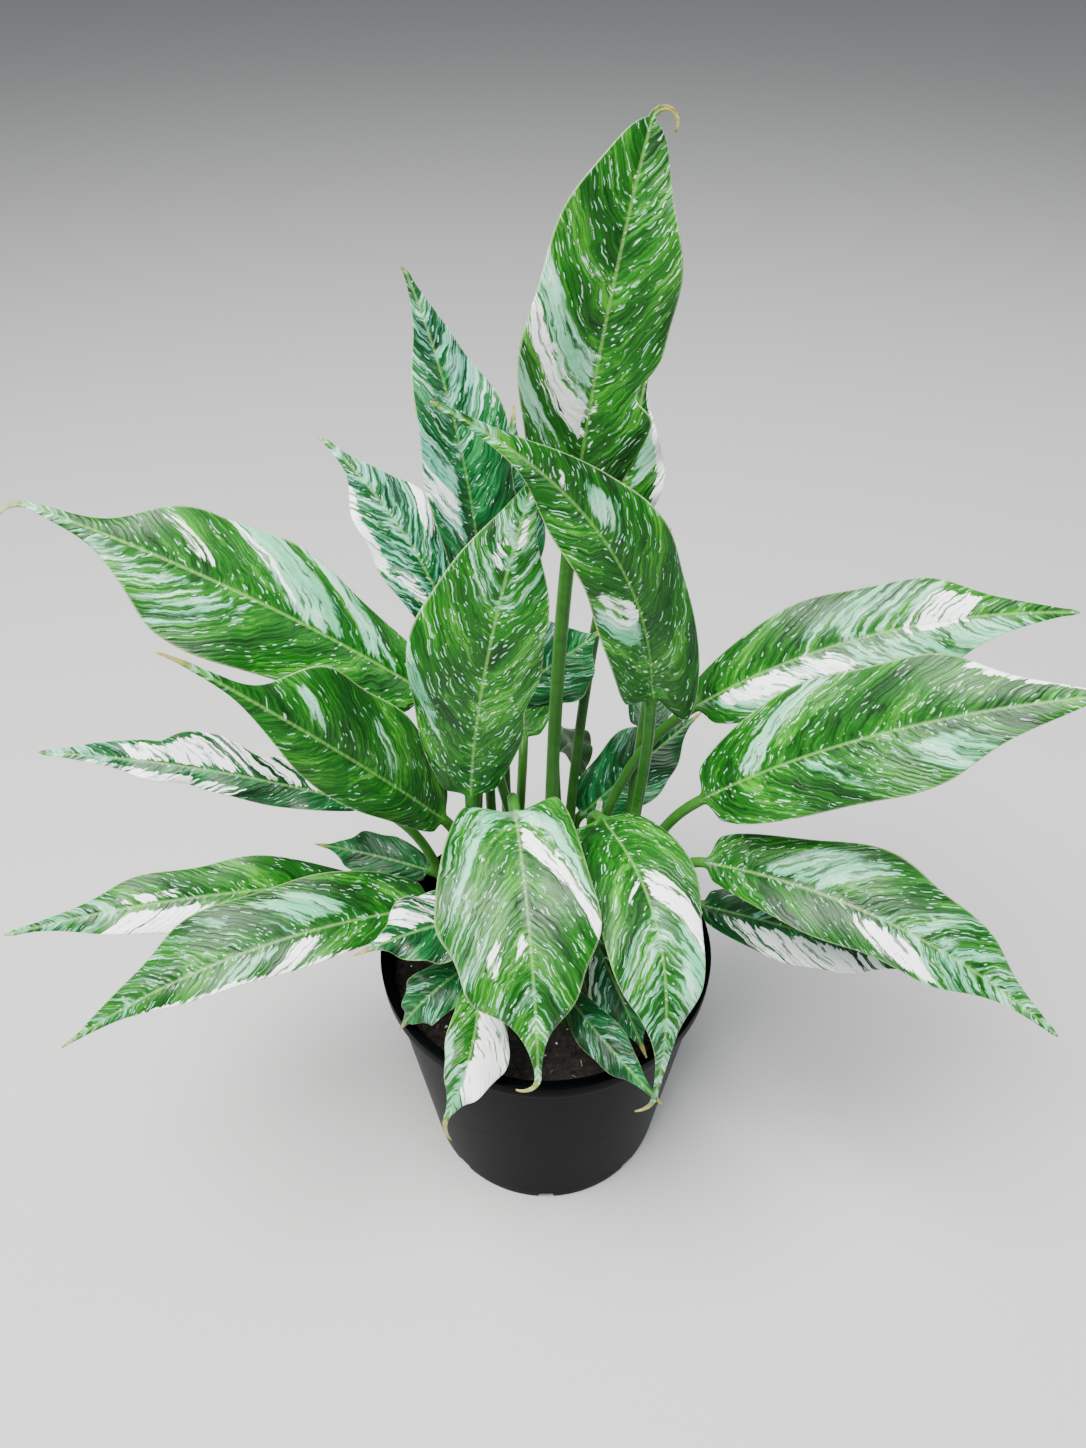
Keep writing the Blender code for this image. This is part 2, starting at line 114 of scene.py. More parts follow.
# Pot.
# A nursery pot of black polypropylene, injection moulded: a thin leaning wall with drain notches
# at its foot and a rim folded outwards. It stands on its floor and holds the soil.
MM = 0.001  # measures are in millimetres from here on
RIM_RADIUS = 100
RIM_INNER_RADIUS = 94.5
RIM_DEPTH = 10
POT_HEIGHT = 168
POT_BASE_RADIUS = 76
WALL = 1.5
FLOOR = 2
WALL_TOP_RADIUS = RIM_INNER_RADIUS + WALL
POT_TURN_STEPS = 160
DRAIN_COUNT = 8
DRAIN_RADIUS = 6
DRAIN_CENTRE = POT_BASE_RADIUS - 3
DRAIN_HEIGHT = 6
DRAIN_SIDES = 32
FLOOR_CORNER = 5  # how far in from the foot the floor begins to rise
WALL_RINGS = (9, 8, 4)  # heights of rings that keep the wall's shading straight above the drains
INNER_LIP = 0.8  # radii of the rounded edges
OUTER_LIP = 1
SKIRT_LIP = 0.5
FOOT_ROUND = 1.8
SKIRT_LEAN = 0.2
DRAFT = 0.1  # the small lean that lets the pot out of its mould


def wall_radius(height):
    """Outer radius of the wall."""
    share = height / (POT_HEIGHT - RIM_DEPTH)
    return POT_BASE_RADIUS + share * (WALL_TOP_RADIUS - POT_BASE_RADIUS)


def add(tree, kind, inputs=None, **settings):
    """Adds a node. An input is a value, a socket, or a node, which gives its first live output."""
    node = tree.nodes.new(kind)
    for name, value in settings.items():
        setattr(node, name, value)
    pairs = inputs.items() if isinstance(inputs, dict) else enumerate(inputs or ())
    for key, value in pairs:
        if isinstance(value, bpy.types.Node):
            value = next(socket for socket in value.outputs if socket.enabled)
        if isinstance(value, bpy.types.NodeSocket):
            tree.links.new(value, node.inputs[key])
        else:
            node.inputs[key].default_value = value
    return node


# Polypropylene from a satin steel mould: black, with a weak broad sheen and a fine grain, and
# faint paler scuffs where pots were stacked.
pot_plastic, tree, shader = new_material("black_polypropylene")
place = add(tree, "ShaderNodeTexCoord").outputs["Object"]
scuffs = add(tree, "ShaderNodeMapping", {"Vector": place, "Scale": (1, 1, 12)})
scuffs = add(tree, "ShaderNodeTexNoise",
             {"Vector": scuffs, "Scale": 40, "Detail": 6, "Roughness": 0.7})
scuffed = add(tree, "ShaderNodeMapRange", {"Value": scuffs, "From Min": 0.56, "From Max": 0.8})
black = add(tree, "ShaderNodeMix", {0: scuffed, 6: linear("#040506"), 7: linear("#0d1012")},
            data_type="RGBA")
tree.links.new(black.outputs[2], shader.inputs["Base Color"])
dull = add(tree, "ShaderNodeMapRange", {"Value": scuffed, "To Min": 0.34, "To Max": 0.55})
tree.links.new(dull.outputs[0], shader.inputs["Roughness"])
shader.inputs["Specular IOR Level"].default_value = 0.015
grain = add(tree, "ShaderNodeTexNoise", {"Vector": place, "Scale": 900, "Detail": 2})
bump = add(tree, "ShaderNodeBump", {"Height": grain, "Strength": 0.12, "Distance": 0.0003})
tree.links.new(bump.outputs[0], shader.inputs["Normal"])


def new_geometry_tree(name, inputs):
    """A Geometry Nodes tree with its group nodes. Inputs are (name, socket kind, value)."""
    tree = bpy.data.node_groups.new(name, "GeometryNodeTree")
    tree.interface.new_socket("Geometry", in_out="OUTPUT", socket_type="NodeSocketGeometry")
    tree.interface.new_socket("Geometry", in_out="INPUT", socket_type="NodeSocketGeometry")
    for label, kind, value in inputs:
        socket = tree.interface.new_socket(label, in_out="INPUT", socket_type=kind)
        socket.default_value = value
    return tree, tree.nodes.new("NodeGroupInput"), tree.nodes.new("NodeGroupOutput")


def end_tree(tree, group_output, geometry, material):
    """Realises instances, sets the material and goes out."""
    real = add(tree, "GeometryNodeRealizeInstances", {"Geometry": geometry})
    painted = add(tree, "GeometryNodeSetMaterial", {"Geometry": real, "Material": material})
    tree.links.new(painted.outputs[0], group_output.inputs[0])


def grown(obj, tree, values, name):
    """The mesh piece that a tree makes of an object, which it then takes the place of."""
    modifier = obj.modifiers.new("grow", "NODES")
    modifier.node_group = tree
    for item in tree.interface.items_tree:
        if item.in_out == "INPUT" and item.name in values:
            modifier[item.identifier] = values[item.name]
    bpy.context.view_layer.update()
    graph = bpy.context.evaluated_depsgraph_get()
    mesh = bpy.data.meshes.new_from_object(obj.evaluated_get(graph))
    bpy.data.objects.remove(obj)
    mesh.name = name
    piece = bpy.data.objects.new(name, mesh)
    bpy.context.scene.collection.objects.link(piece)
    return piece


def arc(centre, radius, start, end, steps):
    """Profile points round a corner, in degrees from +X."""
    turns = [math.radians(start + (end - start) * i / steps) for i in range(steps + 1)]
    return [(centre[0] + radius * math.cos(a), centre[1] + radius * math.sin(a)) for a in turns]


PROFILE_RING = 0.5  # the profile is carried round a circle of this radius, and may cross its centre
rim_low = POT_HEIGHT - RIM_DEPTH
skirt_inner = RIM_RADIUS - WALL
pot_profile = (
    # Inside, from the middle of the floor up to the rim.
    [(0, FLOOR), (POT_BASE_RADIUS - FLOOR_CORNER, FLOOR), (wall_radius(4) - WALL, 4.5)]
    + [(RIM_INNER_RADIUS - 0.5, rim_low - 4), (RIM_INNER_RADIUS, rim_low)]
    + arc((RIM_INNER_RADIUS + INNER_LIP, POT_HEIGHT - INNER_LIP), INNER_LIP, 180, 90, 4)
    # Over the rim, down its skirt, and up behind it.
    + arc((RIM_RADIUS - OUTER_LIP, POT_HEIGHT - OUTER_LIP), OUTER_LIP, 90, 0, 5)
    + [(RIM_RADIUS - SKIRT_LEAN, rim_low + 3)]
    + arc((RIM_RADIUS - 2 * SKIRT_LEAN - SKIRT_LIP, rim_low + SKIRT_LIP), SKIRT_LIP, 0, -90, 3)
    + [(skirt_inner, rim_low), (skirt_inner - DRAFT, POT_HEIGHT - WALL)]
    + [(WALL_TOP_RADIUS, POT_HEIGHT - WALL), (WALL_TOP_RADIUS, rim_low)]
    # Down the wall, round the foot and in to the middle.
    + [(wall_radius(rim_low - 3) - DRAFT, rim_low - 3)]
    + [(wall_radius(height), height) for height in WALL_RINGS]
    + arc((POT_BASE_RADIUS - FOOT_ROUND, FOOT_ROUND), FOOT_ROUND, 0, -90, 4)
    + [(0, 0)]
)
tree, group_in, group_out = new_geometry_tree(
    "turned_profile",
    (("Steps around", "NodeSocketInt", 32), ("Weld", "NodeSocketFloat", 0.00001),
     ("Holes", "NodeSocketInt", DRAIN_COUNT), ("Holes' circle", "NodeSocketFloat", DRAIN_CENTRE * MM),
     ("Hole radius", "NodeSocketFloat", DRAIN_RADIUS * MM), ("Smooth below", "NodeSocketFloat", 0.6)),
)
circle = add(tree, "GeometryNodeCurvePrimitiveCircle",
             {"Resolution": group_in.outputs["Steps around"], "Radius": PROFILE_RING})
as_curve = add(tree, "GeometryNodeMeshToCurve", {"Mesh": group_in.outputs["Geometry"]})
swept = add(tree, "GeometryNodeCurveToMesh", {"Curve": circle.outputs[0], "Profile Curve": as_curve})
welded = add(tree, "GeometryNodeMergeByDistance",
             {"Geometry": swept, "Distance": group_in.outputs["Weld"]})
hole_ring = add(tree, "GeometryNodeMeshCircle",
                {"Vertices": group_in.outputs["Holes"], "Radius": group_in.outputs["Holes' circle"]})
drill = add(tree, "GeometryNodeMeshCylinder",
            {"Vertices": DRAIN_SIDES, "Radius": group_in.outputs["Hole radius"],
             "Depth": 2 * DRAIN_HEIGHT * MM})
drills = add(tree, "GeometryNodeInstanceOnPoints",
             {"Points": hole_ring, "Instance": drill.outputs["Mesh"]})
drills = add(tree, "GeometryNodeRealizeInstances", {"Geometry": drills})
drilled = add(tree, "GeometryNodeMeshBoolean", {"Mesh 1": welded, "Mesh 2": drills},
              operation="DIFFERENCE")
bend = add(tree, "GeometryNodeInputMeshEdgeAngle").outputs["Unsigned Angle"]
flat = add(tree, "ShaderNodeMath", (bend, group_in.outputs["Smooth below"]), operation="LESS_THAN")
smooth_faces = add(tree, "GeometryNodeSetShadeSmooth", {"Geometry": drilled})
shaded = add(tree, "GeometryNodeSetShadeSmooth", {"Geometry": smooth_faces, "Shade Smooth": flat},
             domain="EDGE")
end_tree(tree, group_out, shaded, pot_plastic)
profile_mesh = bpy.data.meshes.new("pot_profile")
profile_mesh.from_pydata(
    [(radius * MM - PROFILE_RING, -height * MM, 0) for radius, height in pot_profile],
    [(i, i + 1) for i in range(len(pot_profile) - 1)],
    [],
)
profile = bpy.data.objects.new("pot_profile", profile_mesh)
bpy.context.scene.collection.objects.link(profile)
pot = grown(profile, tree, {"Steps around": POT_TURN_STEPS}, "nursery_pot")
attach(pot, "root")
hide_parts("pot")

# Soil.
# Moist potting mix of peat and bark with white perlite. It is loose grain that fills the pot to
# a little under its rim: a plug with an uneven top, and grains scattered on it.
SOIL_TOP = 150
SOIL_MOUND = 3
SOIL_UNEVEN = 0.8  # height of the swells, whose lengths are in soil_height
SOIL_ROUGH = 0.7
ROUGH_SIZE = 3.5
SOIL_GAP = 0.3
SOIL_RINGS = 44
SOIL_TURN_STEPS = 120
GRAIN_SEED = 7
wall_lean = (WALL_TOP_RADIUS - POT_BASE_RADIUS) / rim_low
soil_radius = RIM_INNER_RADIUS - (rim_low - SOIL_TOP) * wall_lean - 2 * SOIL_GAP


def smooth(x):
    """Rises from 0 to 1 with level ends."""
    x = np.clip(x, 0, 1)
    return x * x * (3 - 2 * x)


def soil_height(x, y):
    """The soil's top in millimetres: mounded and uneven, and rough in the small."""
    mound = 1 - smooth(np.hypot(x, y) / soil_radius)
    uneven = np.sin(x / 9 + 1) * np.cos(y / 7) + 0.6 * np.sin((x - y) / 5)
    spots = [Vector((a / ROUGH_SIZE, b / ROUGH_SIZE, 0)) for a, b in zip(x, y)]
    rough = np.array([noise.fractal(spot, 0.6, 2.0, 4) for spot in spots])
    return SOIL_TOP + SOIL_MOUND * mound + SOIL_UNEVEN * uneven + SOIL_ROUGH * rough


def grain_material(name, dark, middle, light, roughness):
    """Grains that differ in colour from one to the next."""
    made, tree, shader = new_material(name)
    place = add(tree, "ShaderNodeTexCoord").outputs["Object"]
    shade = add(tree, "ShaderNodeTexNoise", {"Vector": place, "Scale": 260, "Detail": 3})
    low = add(tree, "ShaderNodeMapRange", {"Value": shade, "From Min": 0.4, "From Max": 0.55})
    high = add(tree, "ShaderNodeMapRange", {"Value": shade, "From Min": 0.52, "From Max": 0.72})
    mixed = add(tree, "ShaderNodeMix", {0: low, 6: linear(dark), 7: linear(middle)}, data_type="RGBA")
    mixed = add(tree, "ShaderNodeMix", {0: high, 6: mixed, 7: linear(light)}, data_type="RGBA")
    tree.links.new(mixed.outputs[2], shader.inputs["Base Color"])
    shader.inputs["Roughness"].default_value = roughness
    pits = add(tree, "ShaderNodeTexNoise", {"Vector": place, "Scale": 1500, "Detail": 3})
    bump = add(tree, "ShaderNodeBump", {"Height": pits, "Strength": 0.6, "Distance": 0.0005})
    tree.links.new(bump.outputs[0], shader.inputs["Normal"])
    return made


# Damp peat is almost black and drinks the light, bark is redder and paler where it is torn, and
# perlite is chalk white.
peat = grain_material("damp_peat", "#0d0907", "#1d140e", "#33251a", 0.85)
bark = grain_material("torn_bark", "#20150d", "#3d2a1b", "#6b4d33", 0.75)
perlite = grain_material("perlite", "#b9b5aa", "#d8d5cc", "#f2f0ea", 0.8)
dry_bits = grain_material("dry_leaf_bits", "#8a7350", "#b39c74", "#d3c29c", 0.7)

shares = np.linspace(0, 1, SOIL_RINGS + 1)[1:]
turns = np.arange(SOIL_TURN_STEPS) * math.tau / SOIL_TURN_STEPS
ring_x = (shares[:, None] * soil_radius * np.cos(turns)).ravel()
ring_y = (shares[:, None] * soil_radius * np.sin(turns)).ravel()
ring_x, ring_y = np.append(ring_x, 0), np.append(ring_y, 0)
top_points = np.stack([ring_x, ring_y, soil_height(ring_x, ring_y)], -1) * MM
centre = len(top_points) - 1
top_faces = [(j, (j + 1) % SOIL_TURN_STEPS, centre) for j in range(SOIL_TURN_STEPS)]
for i in range(SOIL_RINGS - 1):
    for j in range(SOIL_TURN_STEPS):
        a, b = i * SOIL_TURN_STEPS + j, i * SOIL_TURN_STEPS + (j + 1) % SOIL_TURN_STEPS
        top_faces.append((b, a, a + SOIL_TURN_STEPS, b + SOIL_TURN_STEPS))
foot_radius = POT_BASE_RADIUS - FLOOR_CORNER
foot_ring = [(foot_radius * math.cos(a), foot_radius * math.sin(a), FLOOR + SOIL_GAP) for a in turns]
edge = (SOIL_RINGS - 1) * SOIL_TURN_STEPS
side_faces = []
for j in range(SOIL_TURN_STEPS):
    following = (j + 1) % SOIL_TURN_STEPS
    side_faces.append((edge + following, edge + j, centre + 1 + j, centre + 1 + following))
under_face = [tuple(range(centre + 1, centre + 1 + SOIL_TURN_STEPS))[::-1]]
soil_points = np.vstack([top_points, np.array(foot_ring) * MM])
soil = mesh_piece("soil_plug", soil_points, top_faces + side_faces + under_face, peat)
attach(soil, "root")
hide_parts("soil")

tree, group_in, group_out = new_geometry_tree(
    "scattered_grains",
    (("Grains per square metre", "NodeSocketFloat", 1000.0), ("Seed", "NodeSocketInt", 0),
     ("Smallest", "NodeSocketVector", (0.001, 0.001, 0.001)),
     ("Largest", "NodeSocketVector", (0.002, 0.002, 0.002)), ("Material", "NodeSocketMaterial", None)),
)
seed = group_in.outputs["Seed"]
spots = add(tree, "GeometryNodeDistributePointsOnFaces",
            {"Mesh": group_in.outputs["Geometry"], "Seed": seed,
             "Density": group_in.outputs["Grains per square metre"]})
grain_shape = add(tree, "GeometryNodeMeshIcoSphere", {"Radius": 0.5, "Subdivisions": 1})
turned = add(tree, "FunctionNodeRandomValue", {1: (math.tau, math.tau, math.tau), 8: seed},
             data_type="FLOAT_VECTOR")
sized = add(tree, "FunctionNodeRandomValue",
            {0: group_in.outputs["Smallest"], 1: group_in.outputs["Largest"], 8: seed},
            data_type="FLOAT_VECTOR")
placed = add(tree, "GeometryNodeInstanceOnPoints",
             {"Points": spots.outputs["Points"], "Instance": grain_shape, "Rotation": turned,
              "Scale": sized})
end_tree(tree, group_out, placed, group_in.outputs["Material"])
# Each row has the grains' name, material, number a square metre, and least and greatest sides.
GRAINS = (
    ("soil_crumbs", peat, 100000, (0.6, 0.6, 0.6), (2.4, 2.0, 1.8)),
    ("soil_bark", bark, 16000, (2, 1, 0.6), (7.5, 4, 2)),
    ("soil_perlite", perlite, 3200, (0.8, 0.8, 0.8), (2.4, 2.2, 2)),
    ("soil_dry_bits", dry_bits, 900, (2.5, 1, 0.3), (9, 4, 0.7)),
)
for number, (name, material, density, smallest, largest) in enumerate(GRAINS):
    bed = mesh_piece(name + "_bed", top_points, top_faces, material)
    values = {"Grains per square metre": density, "Seed": GRAIN_SEED + number, "Material": material}
    values.update({"Smallest": [a * MM for a in smallest], "Largest": [a * MM for a in largest]})
    grains = grown(bed, tree, values, name)
    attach(grains, "root")

# Leaves.
# Each grew as one piece that stands in the soil: a round stalk that runs on as the midrib of a thin
# waved blade. A fine leaf has the form of its solid, with its lateral veins sunk into the top.
UP = np.array([0, 0, 1.0])
STALK_DEPTH = 25  # how far it goes on into the soil
STALK_RISE = 0.4  # the two handles of the stalk's curve, as shares of its reach
STALK_ARRIVE = 0.3
STALK_END = 0.985  # the share of the stalk that has round rings, before the blade's first one
FOOT_SWELL = 0.3  # of the radius, and over this share of the stalk
SWELL_SHARE = 0.5
BLADE_THICKNESS = 0.8
RIB_DEPTH = 2.2
RIB_HALF_WIDTH = 2.4
GROOVE_DEPTH = 0.45
GROOVE_HALF_WIDTH = 1.3
TAIL_START_HALF = 1.6
TAIL_END_HALF = 0.4
DRIP_START = 0.58  # from here the blade narrows to its drip tip
DRIP_LENGTH = 0.34
UNEVEN_WAVES = 2.6  # slow swells in the outline
BASE_LENGTH = 0.25  # the share of the blade that its two lobes at the base bend
LOBE_REACH = 1.6
VEIN_SWEEP = 0.5  # how far the stations lean forwards at the edge, as a share of the half width
SWEEP_CURVE = 1.3
OPENING = 0.06  # the share of the blade over which the round stalk flattens out
VEIN_SLANT = (0.45, 0.55)  # how much more the streaks lean than the stations: evenly, and at the edge
PATCH_GAIN = 0.7  # under 1, so that the streaks break up the patches
PATCH_BORDER = (0.09, 0.3)  # how soft its borders are, along the midrib and across
DRY_TIP = 0.8
NUDGE = (0.02, 0.006)  # steps across and along that a normal is taken over
ACROSS_STEPS = 25
BLADE_CURVE_POINTS = 61
STALK_CURVE_POINTS = 41
STALK_STEPS = 26
BLADE_STEPS = 96
TAIL_STEPS = 8
EDGE_CROWDING = 0.86 * math.pi / 2  # brings the points across closer together near the edges
BASE_CROWDING = 1.15  # and the stations nearer the base


def unit(vectors):
    vectors = np.asarray(vectors, float)
    return vectors / np.linalg.norm(vectors, axis=-1, keepdims=True)


def bezier(a, b, c, d, count):
    t = np.linspace(0, 1, count)[:, None]
    return (1 - t) ** 3 * a + 3 * (1 - t) ** 2 * t * b + 3 * (1 - t) * t**2 * c + t**3 * d


def distances(path):
    steps = np.linalg.norm(np.diff(path, axis=0), axis=1)
    return np.concatenate([[0], np.cumsum(steps)])


def point_at(path, marks, distance):
    return np.stack([np.interp(distance, marks, path[:, k]) for k in range(3)], -1)


def direction_at(path, marks, distance, reach=2.5):
    """The way a path goes, taken over a short reach before and behind."""
    ahead = point_at(path, marks, np.minimum(distance + reach, marks[-1]))
    behind = point_at(path, marks, np.maximum(distance - reach, 0))
    return unit(ahead - behind)


@dataclass
class Leaf:
    """One leaf with its stalk, in millimetres and degrees, with the numbers of its solid.

    foot is where the stalk leaves the soil, joint where it meets the blade, and tip the blade's
    end. face is the azimuth and elevation that the upper side looks to, and halves are the widest
    half widths, left and right. A notch is (side, place, length, depth), and tail (length, turn
    down, turn aside). white and mint hold patches as (from, to, left, right, strength): a band
    between two lateral veins, given by where they leave the midrib, from one place across to
    another, -1 to 1.
    """

    node: str
    foot: tuple
    joint: tuple
    tip: tuple
    face: tuple
    halves: tuple
    arch: float = 8
    swerve: float = 0
    fold: float = 15
    cup: float = 0.25
    belly: float = 0.38
    full: float = 0.85
    drip: float = 0.3
    uneven: float = 0.05
    notches: tuple = ()
    lobes: tuple = (0.25, 0.25)
    wave: float = 2
    waves: float = 3
    tail: tuple = (10, 0, 0)
    stem: float = 3
    tone: str = "green"
    flecks: float = 0.5
    white: tuple = ()
    mint: tuple = ()

    def __post_init__(self):
        self.foot_point = np.array([*self.foot, SOIL_TOP], float)
        azimuth, elevation = np.radians(self.face)
        level = math.cos(elevation)
        self.facing = np.array(
            [math.cos(azimuth) * level, math.sin(azimuth) * level, math.sin(elevation)]
        )
        start, end = np.array(self.joint, float), np.array(self.tip, float)
        chord = end - start
        right = unit(np.cross(chord, self.facing))
        upper = np.cross(right, unit(chord))
        bow = (self.arch * upper + self.swerve * right) * 4 / 3
        blade = bezier(start, start + chord * 0.33 + bow, start + chord * 0.67 + bow, end,
                       BLADE_CURVE_POINTS)
        self.body_length = distances(blade)[-1]
        self.midrib = np.vstack([blade, self.tail_points(blade)])
        self.midrib_marks = distances(self.midrib)
        self.full_length = self.midrib_marks[-1]
        self.last = self.full_length / self.body_length
        first = unit(blade[1] - blade[0])
        reach = np.linalg.norm(start - self.foot_point)
        above = bezier(
            self.foot_point,
            self.foot_point + UP * reach * STALK_RISE,
            start - first * reach * STALK_ARRIVE,
            start,
            STALK_CURVE_POINTS,
        )
        self.stalk = np.vstack([[self.foot_point - UP * STALK_DEPTH], above])
        self.stalk_marks = distances(self.stalk)

    def tail_points(self, blade):
        """The drawn-out tip, an arc that goes on from the blade."""
        length, down, side = self.tail
        ahead = unit(blade[-1] - blade[-2])
        right = unit(np.cross(ahead, self.facing))
        upper = np.cross(right, ahead)
        whole_turn = math.radians(math.hypot(down, side))
        sideways = (right * side - upper * down) / (math.hypot(down, side) or 1)
        points, at = [], blade[-1]
        for i in range(TAIL_STEPS):
            turn = whole_turn * (i + 0.5) / TAIL_STEPS
            at = at + (ahead * math.cos(turn) + sideways * math.sin(turn)) * length / TAIL_STEPS
            points.append(at)
        return np.array(points)

    def frames(self, distance):
        """Point, direction, right and upper at distances along the midrib, also before the joint."""
        distance = np.asarray(distance, float)
        inside = np.clip(distance, 0, self.full_length)
        ahead = direction_at(self.midrib, self.midrib_marks, inside)
        point = point_at(self.midrib, self.midrib_marks, inside)
        point = point + ahead * (distance - inside)[..., None]
        right = unit(np.cross(ahead, self.facing))
        return point, ahead, right, np.cross(right, ahead)

    def phase(self, v):
        """Where the waves of each half begin, so that no two leaves match."""
        return 0.7 * self.foot[0] + 0.3 * self.foot[1] + np.where(v < 0, 0, 1.9)

    def half_width(self, t, v):
        """Half width at t, the share of the blade's length, on the side of v."""
        widest = np.where(v < 0, self.halves[0], self.halves[1])
        power = math.log(0.5) / math.log(self.belly)
        body = widest * np.maximum(np.sin(math.pi * np.clip(t, 0, 1) ** power), 0) ** self.full
        body = body * (1 - self.drip * smooth((t - DRIP_START) / DRIP_LENGTH))
        swell = np.sin(2 * math.pi * UNEVEN_WAVES * t + self.phase(v))
        body = body * (1 + self.uneven * swell)
        for side, place, length, depth in self.notches:
            dent = depth * np.exp(-(((t - place) / length) ** 2))
            body = body * (1 - dent * (v * side > 0))
        thread = np.interp(t, [0.5, 1, self.last], [0, TAIL_START_HALF, TAIL_END_HALF])
        return np.hypot(body, thread)

    def surface(self, t, v):
        """Points on the blade: t from 0 at the joint, past 1 on the tail, v from -1 to 1 across."""
        t, v = np.broadcast_arrays(np.asarray(t, float), np.asarray(v, float))
        half, off = self.half_width(t, v), np.abs(v)
        base = 1 - smooth(t / BASE_LENGTH)
        lobe = np.where(v < 0, self.lobes[0], self.lobes[1])
        slant = VEIN_SWEEP * (1 - base) - LOBE_REACH * lobe * base
        slant = slant * half * off**SWEEP_CURVE * np.clip((self.last - t) / 0.15, 0, 1)
        point, _, right, upper = self.frames(t * self.body_length + slant)
        rise = half * (math.tan(math.radians(self.fold)) * off - self.cup * v * v)
        ripple = self.wave * off**2 * np.sin(2 * math.pi * self.waves * t + self.phase(v))
        rise = rise + ripple * smooth(t / 0.15) * smooth((1 - t) / 0.25)
        return point + right * (v * half)[..., None] + upper * rise[..., None]

    def stalk_rings(self):
        """Point, right, upper and radius along the stalk, turned as little as it can be."""
        stations = np.linspace(0, STALK_END, STALK_STEPS)
        distance = stations * self.stalk_marks[-1]
        points = point_at(self.stalk, self.stalk_marks, distance)
        aheads = direction_at(self.stalk, self.stalk_marks, distance)
        upper = self.frames(np.zeros(1))[3][0]
        uppers = []
        for ahead in aheads[::-1]:
            upper = unit(upper - ahead * np.dot(upper, ahead))
            uppers.append(upper)
        uppers = np.array(uppers[::-1])
        radii = self.stem * (1 + FOOT_SWELL * (1 - smooth(stations / SWELL_SHARE)))
        return points, np.cross(aheads, uppers), uppers, radii


def circle_points(point, right, upper, radius):
    """Points round a stalk: over the top from left to right, then back below."""
    angles = math.pi * (1 - (np.arange(ACROSS_STEPS) + 0.5) / ACROSS_STEPS)
    across = np.cos(angles)[:, None] * right * radius
    above = np.sin(angles)[:, None] * upper * radius
    return np.vstack([point + across + above, (point + across - above)[::-1]])


def patch_amount(patches, vein, v):
    """How strong the patches of one colour are at each place, 0 to 1, with soft borders."""
    amount = np.zeros_like(v)
    along_border, across_border = PATCH_BORDER
    for start, end, left, right, strength in patches:
        along = smooth((vein - start) / along_border + 0.6)
        along = along * smooth((end - vein) / along_border + 0.6)
        across = smooth((v - left) / across_border + 0.6)
        across = across * smooth((right - v) / across_border + 0.6)
        amount = np.maximum(amount, PATCH_GAIN * strength * along * across)
    return amount


